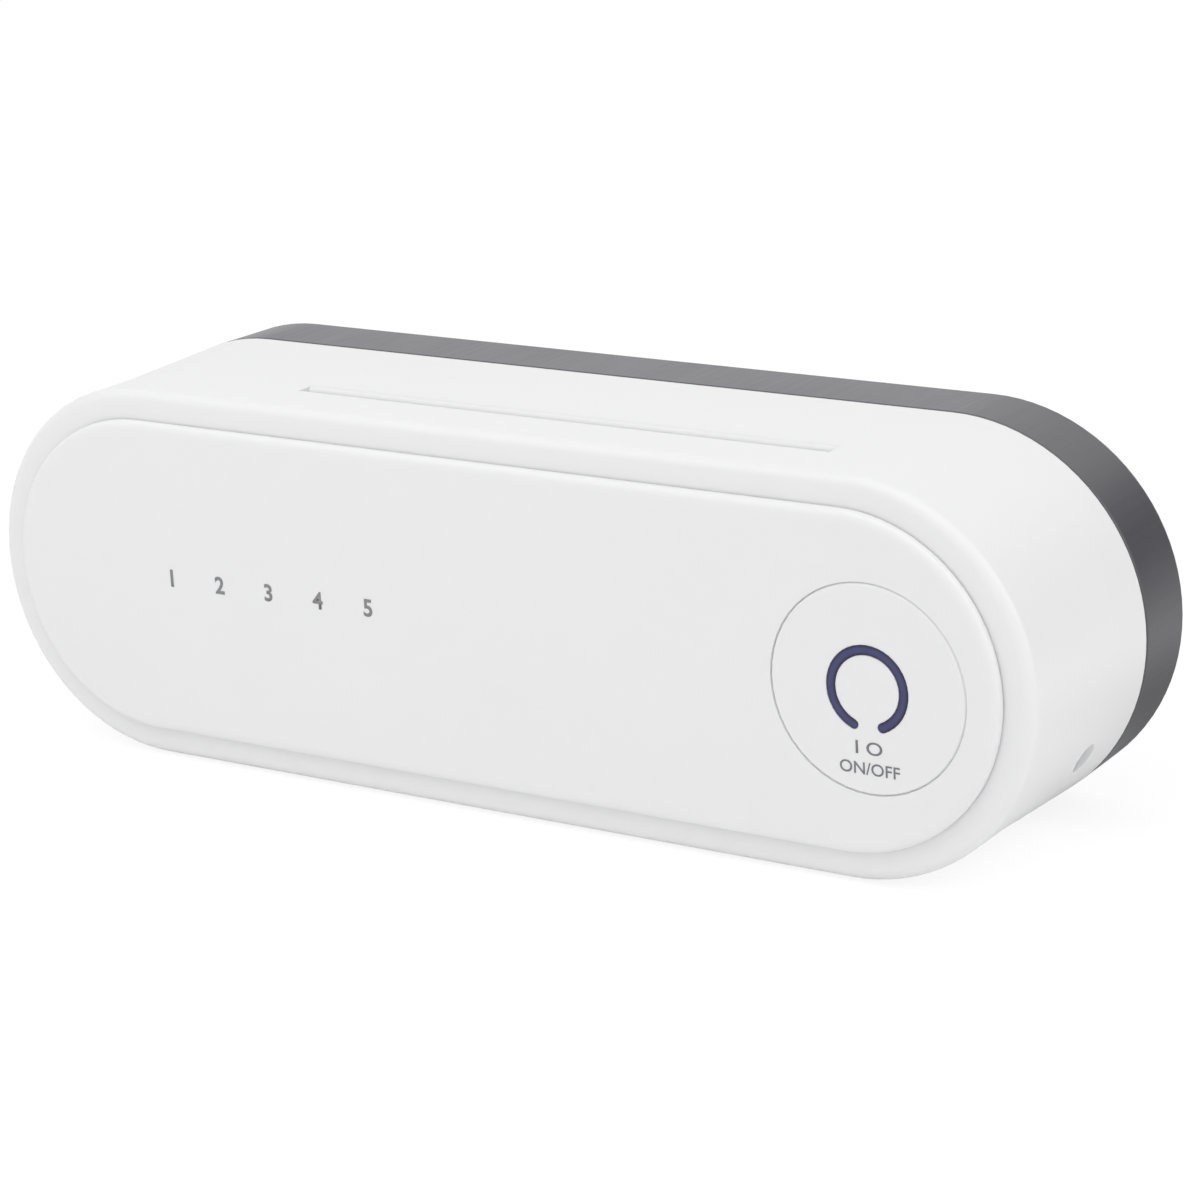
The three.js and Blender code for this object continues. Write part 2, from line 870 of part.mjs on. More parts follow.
// One arm of the door that reaches round the shell's rim to its hinge pin.
function hingeArm(x) {
  const left = x - armWidth / 2;
  const right = x + armWidth / 2;
  const turn = { depth: pivotDepth, z: pivotHeight };
  const ring = cut(
    barAcross({ left, right, ...turn, radius: armOuterRadius, steps: roundSteps }),
    [barAcross({
      left: left - overrun, right: right + overrun, ...turn, radius: armInnerRadius, steps: roundSteps,
    })],
  ).intersect(block({
    left,
    right,
    front: pivotDepth,
    back: pivotDepth + armOuterRadius,
    bottom: pivotHeight - armOuterRadius,
    top: pivotHeight + armWebThickness / 2,
  }));
  const web = block({
    left,
    right,
    front: pivotDepth,
    back: pivotDepth + armInnerRadius + seatGap,
    bottom: pivotHeight - armWebThickness / 2,
    top: pivotHeight + armWebThickness / 2,
  });
  const foot = block({
    left,
    right,
    front: 0,
    back: pivotDepth + fineGap,
    bottom: pivotHeight - armOuterRadius,
    top: pivotHeight - armInnerRadius,
  });
  return join([barAcross({ left, right, ...turn, radius: hubRadius }), ring, web, foot]);
}

// The proud front door with its hinge arms, magnet cups and button cup.
function makeDoor() {
  const front = crown({
    side: doorRadius,
    inset: doorCrown,
    drop: doorCrownDepth,
    frontDepth: -doorProud,
    steps: doorCrownSteps,
  });
  const slab = pillBody([
    ...front,
    { depth: -seatGap, radius: doorRadius },
    { depth: -seatGap, radius: plugRadius },
    { depth: doorBack - doorBackChamfer, radius: plugRadius },
    { depth: doorBack, radius: plugRadius - doorBackChamfer },
  ]);
  const recess = pillBody([
    { depth: doorSkin - doorProud, radius: plugRadius - doorSkirt },
    { depth: doorBack + overrun, radius: plugRadius - doorSkirt },
  ]);
  const panel = cut(slab, [recess]);
  const cup = barAlongDepth({
    x: buttonX, z: buttonZ, radius: cupOuterRadius, front: -doorSkin / 2, back: cupBack, steps: cupSteps,
  });
  const cupHollow = [
    barAlongDepth({
      x: buttonX,
      z: buttonZ,
      radius: cupInnerRadius,
      front: doorBack,
      back: cupBack + overrun,
      steps: cupSteps,
    }),
    barAlongDepth({
      x: buttonX,
      z: buttonZ,
      radius: cupBoardRadius + seatGap,
      front: cupStepDepth,
      back: cupBack + overrun,
      steps: cupSteps,
    }),
    barAlongDepth({
      x: buttonX,
      z: buttonZ,
      radius: buttonRadius + buttonGap,
      front: -overrun,
      back: cupBack,
      steps: roundSteps,
    }),
  ];
  const magnetCups = [-magnetOffset, magnetOffset].map((x) => barAlongDepth({
    x,
    z: -magnetDrop,
    radius: magnetRadius + magnetCupWall,
    front: -doorSkin / 2,
    back: magnetFront + magnetThickness,
  }));
  const magnetPockets = [-magnetOffset, magnetOffset].map((x) => barAlongDepth({
    x,
    z: -magnetDrop,
    radius: magnetRadius + fineGap,
    front: doorBack,
    back: magnetFront + overrun,
  }));
  const hubBores = [-hingeOffset, hingeOffset].map((x) => barAcross({
    left: x - armWidth,
    right: x + armWidth,
    depth: pivotDepth,
    z: pivotHeight,
    radius: pinRadius + fineGap,
  }));
  const hingeArms = [-hingeOffset, hingeOffset].map(hingeArm);
  return cut(
    join([panel, cup, ...magnetCups, ...hingeArms]),
    [...cupHollow, ...magnetPockets, ...hubBores],
  );
}

// One hinge pin.
function makeHingePin(x) {
  return barAcross({
    left: x - pinLength / 2,
    right: x + pinLength / 2,
    depth: pivotDepth,
    z: pivotHeight,
    radius: pinRadius,
  });
}

// One door magnet.
function makeMagnet(x) {
  return barAlongDepth({
    x, z: -magnetDrop, radius: magnetRadius, front: magnetFront, back: magnetFront + magnetThickness,
  });
}

// One steel plate that a door magnet closes against.
function makeKeeper(x) {
  return barAlongDepth({
    x, z: -magnetDrop, radius: keeperRadius, front: keeperFront, back: keeperFront + keeperThickness,
  });
}

// Points along an arc, both ends included.
function arcPoints({ x, z, radius, from, to, steps }) {
  return Array.from({ length: steps + 1 }, (_, step) => {
    const angle = from + (to - from) * (step / steps);
    return new THREE.Vector2(x + radius * Math.cos(angle), z + radius * Math.sin(angle));
  });
}

// A letter C open at the bottom, with round ends, drawn in the plane of the button.
function ringShape(growth) {
  const outer = ringOuter + growth;
  const inner = ringInner - growth;
  const middle = (outer + inner) / 2;
  const endRadius = (outer - inner) / 2;
  const ringGapAngle = 2 * Math.PI * ringGapTurnShare;
  const start = ringGapAngle - Math.PI / 2;
  const finish = 3 * Math.PI / 2 - ringGapAngle;
  const endArc = (angle, from) => arcPoints({
    x: middle * Math.cos(angle),
    z: middle * Math.sin(angle),
    radius: endRadius,
    from,
    to: from + Math.PI,
    steps: ringEndSteps,
  }).slice(1, -1);
  return new THREE.Shape([
    ...arcPoints({ x: 0, z: 0, radius: outer, from: start, to: finish, steps: ringArcSteps }),
    ...endArc(finish, finish),
    ...arcPoints({ x: 0, z: 0, radius: inner, from: finish, to: start, steps: ringArcSteps }),
    ...endArc(start, start + Math.PI),
  ]);
}

// The solid of the light ring between two depths.
function ringSolid({ growth, front, back }) {
  const geometry = new THREE.ExtrudeGeometry(ringShape(growth), {
    depth: back - front,
    bevelEnabled: false,
  });
  geometry.rotateX(Math.PI / 2);
  geometry.translate(buttonX, atDepth(back), buttonZ);
  return toSolid(geometry);
}

// The button cap, with a flange that keeps it behind the door.
function makeButton() {
  const rimInner = buttonRadius + buttonFlangeReach - buttonRimWidth;
  const cap = turned([
    [0, buttonFlangeBack],
    [buttonBossRadius, buttonFlangeBack],
    [buttonBossRadius, buttonSkin - doorProud],
    [rimInner, buttonSkin - doorProud],
    [rimInner, buttonFlangeBack],
    [buttonRadius + buttonFlangeReach, buttonFlangeBack],
    [buttonRadius + buttonFlangeReach, buttonFlangeFront],
    [buttonRadius, buttonFlangeFront],
    [buttonRadius, buttonChamfer - doorProud],
    [buttonRadius - buttonChamfer, -doorProud],
    [0, -doorProud],
  ].reverse());
  return cut(cap, [ringSolid({ growth: fineGap, front: -overrun, back: cupBack })]);
}

// The clear light ring.
function makeLightRing() {
  return ringSolid({ growth: 0, front: -doorProud, back: ringDepth - doorProud });
}

// A closed coil about the button's axis, from the board up to the cap.
function makeSpring() {
  const front = buttonSkin - doorProud + springWire + fineGap;
  const back = buttonBoardFront - springWire - fineGap;
  const count = springTurns * springStepsPerTurn;
  const rings = [];
  for (let step = 0; step <= count; step += 1) {
    const angle = 2 * Math.PI * (step / springStepsPerTurn);
    const centre = new THREE.Vector3(
      springRadius * Math.cos(angle),
      front + (back - front) * (step / count),
      springRadius * Math.sin(angle),
    );
    const outward = new THREE.Vector3(Math.cos(angle), 0, Math.sin(angle));
    const along = new THREE.Vector3(0, 1, 0);
    const ring = [];
    for (let side = 0; side < springSides; side += 1) {
      const turn = 2 * Math.PI * (side / springSides);
      ring.push(centre.clone()
        .addScaledVector(outward, springWire * Math.cos(turn))
        .addScaledVector(along, springWire * Math.sin(turn))
        .add(new THREE.Vector3(buttonX, -bodyDepth, buttonZ)));
    }
    rings.push(ring.reverse());
  }
  return loft(rings);
}

// The round board behind the button.
function makeButtonBoard() {
  return barAlongDepth({
    x: buttonX,
    z: buttonZ,
    radius: cupBoardRadius,
    front: buttonBoardFront,
    back: buttonBoardFront + buttonBoardThickness,
    steps: cupSteps,
  });
}

// The body of the push switch, open at the front for its plunger.
function makeSwitch() {
  const back = buttonBoardFront - fineGap;
  const front = back - switchHeight;
  const body = block({
    left: buttonX - switchSide / 2,
    right: buttonX + switchSide / 2,
    front,
    back,
    bottom: buttonZ - switchSide / 2,
    top: buttonZ + switchSide / 2,
  });
  return cut(body, [barAlongDepth({
    x: buttonX,
    z: buttonZ,
    radius: plungerRadius + screwClearance,
    front: front - overrun,
    back: front + switchBoreDepth,
  })]);
}

// The plunger of the push switch, which the button presses.
function makePlunger() {
  const front = buttonFlangeBack + fineGap;
  return barAlongDepth({
    x: buttonX, z: buttonZ, radius: plungerRadius, front, back: front + plungerLength,
  });
}

// One light under the ring.
function makeStatusLed(index) {
  const angle = Math.PI / 2 + 2 * Math.PI * (index / statusLedCount);
  const reach = (ringOuter + ringInner) / 2;
  const x = buttonX + reach * Math.cos(angle);
  const z = buttonZ + reach * Math.sin(angle);
  const back = buttonBoardFront - fineGap;
  return block({
    left: x - statusLedSide / 2,
    right: x + statusLedSide / 2,
    front: back - statusLedHeight,
    back,
    bottom: z - statusLedSide / 2,
    top: z + statusLedSide / 2,
  });
}

// The cover that closes the cup behind the button.
function makeDoorCover() {
  const lipFront = coverFront - coverLipHeight - seatGap;
  const disc = barAlongDepth({
    x: buttonX, z: buttonZ, radius: cupOuterRadius, front: coverFront, back: coverBack, steps: cupSteps,
  });
  const lip = barAlongDepth({
    x: buttonX,
    z: buttonZ,
    radius: cupBoardRadius,
    front: lipFront,
    back: coverFront + fineGap,
    steps: cupSteps,
  });
  const lipHollow = barAlongDepth({
    x: buttonX,
    z: buttonZ,
    radius: cupBoardRadius - coverLipWidth,
    front: lipFront - overrun,
    back: coverFront,
    steps: cupSteps,
  });
  return cut(disc.add(lip), [lipHollow]);
}

// The row of brush places, from left to right.
function brushPlaces() {
  return Array.from({ length: brushCount }, (_, index) => firstBrush + brushPitch * index);
}

// The two places where screws hold the rack.
function rackScrewPlaces() {
  const places = brushPlaces();
  return [places[0] + brushPitch / 2, places[brushCount - 1] - brushPitch / 2];
}

// The liner that forms the back of the brush chamber and its right wall.
function makeLiner() {
  const back = linerBack;
  const edgeRadius = shellWallRadius - edgeGap;
  const plate = pillBody([
    { depth: linerFront, radius: edgeRadius },
    { depth: back, radius: edgeRadius },
  ]).intersect(block({
    left: -straightHalf - seamRadius,
    right: linerEnd,
    front: 0,
    back: bodyDepth,
    bottom: -seamRadius,
    top: seamRadius,
  }));
  const partition = block({
    left: linerEnd - linerThickness,
    right: linerEnd,
    front: partitionFront,
    back,
    bottom: -edgeRadius,
    top: edgeRadius,
  });
  const baffleRoom = block({
    left: linerEnd - linerThickness - overrun,
    right: linerEnd + overrun,
    front: baffleFront - edgeGap,
    back: baffleBack + edgeGap,
    bottom: ventFloor - edgeGap,
    top: seamRadius,
  });
  const grilleHalf = ductSide / 2 - grilleInset;
  const grillePitch = 2 * grilleHalf / grilleSlots;
  const grilleSlotHeight = grillePitch * grilleSlotShare;
  const grille = [];
  for (let index = 0; index < grilleSlots; index += 1) {
    const z = grillePitch * (index - (grilleSlots - 1) / 2);
    grille.push(block({
      left: ductX - grilleHalf,
      right: ductX + grilleHalf,
      front: linerFront - overrun,
      back: back + overrun,
      bottom: z - grilleSlotHeight / 2,
      top: z + grilleSlotHeight / 2,
    }));
  }
  const screwHoles = rackScrewPlaces().map((x) => barAlongDepth({
    x,
    z: rackMiddle,
    radius: rackScrewRadius + edgeGap,
    front: linerFront - overrun,
    back: back + overrun,
  }));
  return cut(plate.add(partition), [baffleRoom, ...grille, ...screwHoles]);
}

// The comb that the brush necks rest in.
function makeRack() {
  const bottom = rackMiddle - rackThickness / 2;
  const top = rackMiddle + rackThickness / 2;
  const plate = block({
    left: rackLeft, right: rackRight, front: rackFront, back: rackBack, bottom, top,
  });
  const notches = brushPlaces().flatMap((x) => [
    block({
      left: x - notchWidth / 2,
      right: x + notchWidth / 2,
      front: rackFront - overrun,
      back: notchBack,
      bottom: bottom - overrun,
      top: top + overrun,
    }),
    barUpright({
      x,
      depth: notchBack,
      radius: notchWidth / 2,
      bottom: bottom - overrun,
      top: top + overrun,
    }),
  ]);
  const pilots = rackScrewPlaces().map((x) => barAlongDepth({
    x,
    z: rackMiddle,
    radius: rackScrewRadius + fineGap,
    front: linerBack - rackScrewLength - seatGap,
    back: rackBack + overrun,
  }));
  return cut(plate, [...notches, ...pilots]);
}

// One screw that holds the rack to the liner.
function makeRackScrew(x) {
  const seat = linerBack + fineGap;
  const z = rackMiddle;
  const shank = barAlongDepth({
    x, z, radius: rackScrewRadius, front: seat - rackScrewLength, back: seat + fineGap, steps: screwSteps,
  });
  return shank.add(barAlongDepth({
    x, z, radius: rackScrewHeadRadius, front: seat, back: seat + rackScrewHeadHeight, steps: screwSteps,
  }));
}

// The strip board of the lamps.
function makeLampBoard() {
  return block({
    left: firstBrush - lampBoardReach,
    right: lastBrush + lampBoardReach,
    front: lampBoardFront,
    back: lampBoardFront + lampBoardThickness,
    bottom: lampBoardBottom,
    top: lampBoardTop,
  });
}

// One lamp on the strip board.
function makeLamp(x) {
  const z = (lampBoardBottom + lampBoardTop) / 2;
  const back = lampBoardFront - fineGap;
  return block({
    left: x - lampSide / 2,
    right: x + lampSide / 2,
    front: back - lampHeight,
    back,
    bottom: z - lampSide / 2,
    top: z + lampSide / 2,
  });
}

// The clear cover over the lamps.
function makeLampWindow() {
  const back = linerFront - seatGap;
  const front = back - lampPaneDepth;
  const reach = lampPaneWall + lampPaneMargin;
  const body = block({
    left: firstBrush - lampBoardReach - reach,
    right: lastBrush + lampBoardReach + reach,
    front,
    back,
    bottom: lampBoardBottom - reach,
    top: lampBoardTop + reach,
  });
  return cut(body, [block({
    left: firstBrush - lampBoardReach - lampPaneMargin,
    right: lastBrush + lampBoardReach + lampPaneMargin,
    front: front + lampPaneWall,
    back: back + overrun,
    bottom: lampBoardBottom - lampPaneMargin,
    top: lampBoardTop + lampPaneMargin,
  })]);
}

// A square block centred on the warm air duct.
function ductBlock({ side, front, back }) {
  return block({
    left: ductX - side / 2,
    right: ductX + side / 2,
    front,
    back,
    bottom: -side / 2,
    top: side / 2,
  });
}

// The square duct behind the liner.
function makeDuct() {
  const back = raisedFloor - ductAirRoom;
  const body = ductBlock({ side: ductSide, front: ductFront, back });
  const hollow = ductBlock({ side: ductBore, front: ductFront - overrun, back: back + overrun });
  return cut(body, [hollow]);
}

// The heater with its upright fins.
function makeHeater() {
  const side = ductCoreSide;
  const front = ductFront + heaterStart;
  const back = front + heaterThickness;
  const slots = [];
  const pitch = (side - 2 * heaterRimWidth) / heaterSlots;
  const heaterSlotWidth = pitch * heaterSlotShare;
  for (let index = 0; index < heaterSlots; index += 1) {
    const x = ductX + pitch * (index - (heaterSlots - 1) / 2);
    slots.push(block({
      left: x - heaterSlotWidth / 2,
      right: x + heaterSlotWidth / 2,
      front: front - overrun,
      back: back + overrun,
      bottom: heaterRimWidth - side / 2,
      top: side / 2 - heaterRimWidth,
    }));
  }
  return cut(ductBlock({ side, front, back }), slots);
}

// The square frame of the fan, with its axle held on three struts.
function makeFanFrame() {
  const side = ductCoreSide;
  const front = ductFront + fanStart;
  const back = front + fanThickness;
  const centre = { x: ductX, z: 0 };
  const frame = cut(ductBlock({ side, front, back }), [barAlongDepth({
    ...centre, radius: fanBoreRadius, front: front - overrun, back: back + overrun, steps: cupSteps,
  })]);
  const struts = [];
  for (let index = 0; index < fanStruts; index += 1) {
    const strut = new THREE.BoxGeometry(fanBoreRadius + axleRadius, fanStatorThickness, fanStrutWidth);
    strut.translate((fanBoreRadius + axleRadius) / 2, 0, 0);
    strut.rotateY(2 * Math.PI * (index / fanStruts) + Math.PI / 2);
    strut.translate(ductX, atDepth(back - fanStatorThickness / 2), 0);
    struts.push(toSolid(strut));
  }
  const stator = barAlongDepth({
    ...centre, radius: fanStatorRadius, front: back - fanStatorThickness, back,
  });
  const axle = barAlongDepth({
    ...centre, radius: axleRadius, front: front + edgeGap, back: back - fanStatorThickness / 2,
  });
  return join([frame, ...struts, stator, axle]);
}

// The fan wheel: a cup hub with pitched blades.
function makeImpeller() {
  const back = ductFront + fanStart + fanThickness - fanStatorThickness - edgeGap;
  const front = back - impellerHubLength;
  const centre = { x: ductX, z: 0 };
  const hub = barAlongDepth({ ...centre, radius: impellerHubRadius, front, back });
  const hubHollow = barAlongDepth({
    ...centre,
    radius: impellerHubRadius - impellerHubWall,
    front: front + impellerHubWall,
    back: back + overrun,
  });
  const sleeve = barAlongDepth({
    ...centre, radius: axleRadius + axleClearance + impellerHubWall, front, back: back - edgeGap,
  });
  const bore = barAlongDepth({
    ...centre, radius: axleRadius + axleClearance, front: front - overrun, back: back + overrun,
  });
  const blades = [];
  const bladeRoot = impellerHubRadius - impellerHubWall / 2;
  const bladeLength = fanBoreRadius - impellerTipGap - bladeRoot;
  for (let index = 0; index < impellerBlades; index += 1) {
    const blade = new THREE.BoxGeometry(bladeLength, bladeSpan, bladeThickness);
    blade.translate(bladeRoot + bladeLength / 2, 0, 0);
    blade.rotateX(2 * Math.PI * bladePitchTurnShare);
    blade.rotateY(2 * Math.PI * (index / impellerBlades));
    blade.translate(ductX, atDepth((front + back) / 2), 0);
    blades.push(toSolid(blade));
  }
  const wheel = join([hub, ...blades]);
  return cut(cut(wheel, [hubHollow]).add(sleeve), [bore]);
}

// The baffle that catches drips under the air outlet.
function makeBaffle() {
  const left = ventLeft - ventEndLength;
  const right = ventRight + ventEndLength;
  const plate = block({
    left,
    right,
    front: baffleFront,
    back: baffleBack,
    bottom: ventFloor,
    top: ventFloor + ventFloorThickness,
  });
  const top = shellWallRadius - seatGap;
  const ends = [[left, ventLeft], [ventRight, right]].map(([from, to]) => block({
    left: from, right: to, front: baffleFront, back: baffleBack, bottom: ventFloor, top,
  }));
  return join([plate, ...ends]);
}

// The main circuit board in the right end.
function makeMainBoard() {
  return block({
    left: boardLeft,
    right: boardRight,
    front: boardFront,
    back: boardFront + boardThickness,
    bottom: -boardHalfHeight,
    top: boardHalfHeight,
  });
}

// The controller chip on the main board.
function makeChip() {
  const back = boardFront - fineGap;
  const x = (boardLeft + boardRight) / 2 + chipShift;
  return block({
    left: x - chipSide / 2,
    right: x + chipSide / 2,
    front: back - chipHeight,
    back,
    bottom: chipRise - chipSide / 2,
    top: chipRise + chipSide / 2,
  });
}

// The battery cell, upright.
function makeBattery() {
  const bottom = -batteryLength / 2 - batteryDrop;
  const top = bottom + batteryLength;
  const place = { x: batteryX, depth: batteryDepth };
  const can = barUpright({ ...place, radius: batteryRadius, bottom, top, steps: 2 * smallSteps });
  return can.add(barUpright({
    ...place, radius: batteryCapRadius, bottom: top - seatGap, top: top + batteryCapHeight,
  }));
}

// The cradle that the battery lies in.
function makeCradle() {
  const bottom = -batteryLength / 2 - batteryDrop - seatGap;
  const top = bottom + batteryLength + batteryCapHeight + 2 * seatGap;
  const left = batteryX - batteryRadius - cradleSideWall;
  const right = batteryX + batteryRadius + cradleSideWall;
  const back = boardFront - seatGap;
  const trough = block({
    left, right, front: back - cradleFloorDepth, back, bottom: bottom - cradleWall, top: top + cradleWall,
  });
  const ends = [[bottom - cradleWall, bottom], [top, top + cradleWall]].map(([from, to]) => block({
    left, right, front: batteryDepth - cradleEndReach, back, bottom: from, top: to,
  }));
  const room = barUpright({
    x: batteryX, depth: batteryDepth, radius: batteryRadius + seatGap, bottom, top, steps: 2 * smallSteps,
  });
  return join([cut(trough, [room]), ...ends]);
}

// The charging socket with its centre pin.
function makeSocket() {
  const line = { depth: socketDepth, z: socketZ };
  const body = block({
    left: socketBodyLeft,
    right: socketBodyRight,
    front: socketDepth - socketBodyHalf,
    back: boardFront - fineGap,
    bottom: socketZ - socketBodyHalf,
    top: socketZ + socketBodyHalf,
  });
  const barrel = barAcross({
    ...line,
    left: socketBodyRight - seatGap,
    right: socketBarrelEnd,
    radius: socketBarrelRadius,
    steps: 2 * smallSteps,
  });
  const boreLeft = socketBarrelEnd - socketBoreDepth;
  const bore = barAcross({
    ...line, left: boreLeft, right: socketBarrelEnd + overrun, radius: socketBoreRadius,
  });
  const pin = barAcross({
    ...line,
    left: boreLeft - seatGap,
    right: socketBarrelEnd - socketPinSetback,
    radius: socketPinRadius,
  });
  return cut(body.add(barrel), [bore]).add(pin);
}

// Materials
const finishes = {
  whitePlastic: { color: 0xf4f4f5, roughness: 0.35, metalness: 0 },
  darkPlastic: { color: 0x77777c, roughness: 0.4, metalness: 0 },
  innerPlastic: { color: 0xe6e6e8, roughness: 0.5, metalness: 0 },
  indigo: { color: 0x3f4380, roughness: 0.3, metalness: 0 },
  steel: { color: 0xb9bcc0, roughness: 0.3, metalness: 1 },
  blackPlastic: { color: 0x202024, roughness: 0.5, metalness: 0 },
  board: { color: 0x1f6b3c, roughness: 0.5, metalness: 0 },
  lamp: { color: 0xf2e6b0, roughness: 0.3, metalness: 0 },
  clear: { color: 0xd8e2f0, roughness: 0.1, metalness: 0 },
  foam: { color: 0x3a3a3c, roughness: 0.9, metalness: 0 },
  ceramic: { color: 0xd9d4c8, roughness: 0.6, metalness: 0 },
  wrap: { color: 0x4a6fb0, roughness: 0.4, metalness: 0 },
};

const group = new THREE.Group();

// Adds one named piece with its own material.
function place(name, solid, finish) {
  const mesh = new THREE.Mesh(toGeometry(solid), new THREE.MeshStandardMaterial(finishes[finish]));
  mesh.name = name;
  group.add(mesh);
}

place('main_shell', makeShell(), 'whitePlastic');
place('rear_case', makeRearCase(), 'darkPlastic');
screwPlaces.forEach((spot, index) => place(`case_screw_${index + 1}`, makeCaseScrew(spot), 'steel'));
place('wall_bracket', makeWallBracket(), 'innerPlastic');
place('adhesive_pad', makeAdhesivePad(), 'foam');
place('front_door', makeDoor(), 'whitePlastic');
place('hinge_pin_left', makeHingePin(-hingeOffset), 'steel');
place('hinge_pin_right', makeHingePin(hingeOffset), 'steel');
place('door_magnet_left', makeMagnet(-magnetOffset), 'steel');
place('door_magnet_right', makeMagnet(magnetOffset), 'steel');
place('keeper_plate_left', makeKeeper(-magnetOffset), 'steel');
place('keeper_plate_right', makeKeeper(magnetOffset), 'steel');
place('power_button', makeButton(), 'whitePlastic');
place('light_ring', makeLightRing(), 'indigo');
place('button_spring', makeSpring(), 'steel');
place('button_board', makeButtonBoard(), 'board');
place('push_switch', makeSwitch(), 'blackPlastic');
place('switch_plunger', makePlunger(), 'blackPlastic');
for (let index = 0; index < statusLedCount; index += 1) {
  place(`status_led_${index + 1}`, makeStatusLed(index), 'lamp');
}
place('door_back_cover', makeDoorCover(), 'innerPlastic');
place('chamber_liner', makeLiner(), 'innerPlastic');
place('brush_rack', makeRack(), 'innerPlastic');
rackScrewPlaces().forEach((x, index) => place(`rack_screw_${index + 1}`, makeRackScrew(x), 'steel'));
place('lamp_board', makeLampBoard(), 'board');
brushPlaces().forEach((x, index) => place(`uv_lamp_${index + 1}`, makeLamp(x), 'lamp'));
place('lamp_window', makeLampWindow(), 'clear');
place('air_duct', makeDuct(), 'blackPlastic');
place('air_heater', makeHeater(), 'ceramic');
place('fan_frame', makeFanFrame(), 'blackPlastic');
place('fan_wheel', makeImpeller(), 'blackPlastic');
place('vent_baffle', makeBaffle(), 'innerPlastic');
place('main_board', makeMainBoard(), 'board');
place('control_chip', makeChip(), 'blackPlastic');
place('battery_cell', makeBattery(), 'wrap');
place('battery_cradle', makeCradle(), 'blackPlastic');
place('charge_socket', makeSocket(), 'innerPlastic');

export default group;
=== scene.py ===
import logging
import math
from dataclasses import dataclass, field
from enum import Enum
from typing import Any, Union

import bmesh
import bpy
from mathutils import Matrix, Vector


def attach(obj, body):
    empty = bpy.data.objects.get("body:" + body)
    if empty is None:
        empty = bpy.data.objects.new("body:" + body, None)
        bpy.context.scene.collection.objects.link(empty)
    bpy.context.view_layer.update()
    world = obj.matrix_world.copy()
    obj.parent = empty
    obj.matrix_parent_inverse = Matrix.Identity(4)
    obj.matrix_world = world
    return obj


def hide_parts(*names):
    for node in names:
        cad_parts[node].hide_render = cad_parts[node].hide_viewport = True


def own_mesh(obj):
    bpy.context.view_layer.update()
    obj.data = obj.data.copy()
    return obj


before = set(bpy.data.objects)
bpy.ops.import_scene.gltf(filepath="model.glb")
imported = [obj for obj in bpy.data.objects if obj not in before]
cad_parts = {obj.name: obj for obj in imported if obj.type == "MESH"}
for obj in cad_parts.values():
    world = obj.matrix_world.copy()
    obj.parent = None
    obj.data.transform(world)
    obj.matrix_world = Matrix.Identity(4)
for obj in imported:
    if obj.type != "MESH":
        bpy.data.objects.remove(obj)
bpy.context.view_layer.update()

LOG = logging.getLogger("drying_holder")

Color = tuple[float, float, float]
Place = tuple[float, float, float]
Source = Union["Value", bpy.types.NodeSocket, float, tuple[float, ...]]

# Lengths are in millimetres, except where a docstring says metres.
MM = 0.001
RIM_DEPTH = 62.9
FACE_DEPTH = -2.1
BUTTON_CENTRE = (88.65, -0.4)
WELD_GAP = 0.002
SHARP_ANGLE = math.radians(32.0)
NORMAL_WEIGHT = 100
MIX_FIRST, MIX_SECOND, MIX_RESULT = 6, 7, 2
WHITE_LIGHT: Color = (1.0, 1.0, 1.0)
NO_LIGHT: Color = (0.0, 0.0, 0.0)


def at(x: float, depth: float, z: float) -> Vector:
    """A point of the row frame in metres.

    Args:
        x: Millimetres to the right of the middle.
        depth: Millimetres behind the plane of the white rim.
        z: Millimetres above the middle.

    Returns:
        The point in metres.
    """
    return Vector((x, depth - RIM_DEPTH, z)) * MM


def toned(color: Color, factor: float) -> Color:
    """The colour with each channel multiplied by the factor."""
    return tuple(channel * factor for channel in color)


def add_object(name: str, data: bpy.types.ID) -> bpy.types.Object:
    """Puts a mesh, curve, lamp or camera into the scene.

    Args:
        name: The object's name.
        data: The object's data.

    Returns:
        The new object.
    """
    made = bpy.data.objects.new(name, data)
    bpy.context.collection.objects.link(made)
    return made


def skin(name: str, rings: list[list[Vector]], looped: bool = False) -> bpy.types.Object:
    """A closed mesh over a row of equal rings of corners.

    Args:
        name: The piece's name.
        rings: The rings, in order.
        looped: Whether the last ring joins the first one. If not, both ends are capped.

    Returns:
        The new piece.
    """
    corners = [corner for ring in rings for corner in ring]
    sides = len(rings[0])
    faces = []
    if not looped:
        faces = [tuple(range(sides)), tuple(range(len(corners) - sides, len(corners)))]
    for ring in range(len(rings) if looped else len(rings) - 1):
        near, far = ring * sides, (ring + 1) % len(rings) * sides
        for side in range(sides):
            after = (side + 1) % sides
            faces.append((near + side, far + side, far + after, near + after))
    mesh = bpy.data.meshes.new(name)
    mesh.from_pydata(corners, [], faces)
    shape = bmesh.new()
    shape.from_mesh(mesh)
    bmesh.ops.recalc_face_normals(shape, faces=shape.faces)
    shape.to_mesh(mesh)
    shape.free()
    return add_object(name, mesh)


def shade(piece: bpy.types.Object) -> None:
    """Shades curved faces smoothly and keeps real edges sharp.

    Args:
        piece: The piece.
    """
    piece.data.shade_smooth()
    weld = piece.modifiers.new("weld", "WELD")
    weld.merge_threshold = WELD_GAP * MM
    split = piece.modifiers.new("sharp edges", "EDGE_SPLIT")
    split.split_angle = SHARP_ANGLE
    weighted = piece.modifiers.new("even normals", "WEIGHTED_NORMAL")
    weighted.weight = NORMAL_WEIGHT
    weighted.keep_sharp = True


class Body(Enum):
    """The rigid bodies that new pieces ride on."""

    HOUSING = "housing"
    DOOR = "door"
    BUTTON = "button"


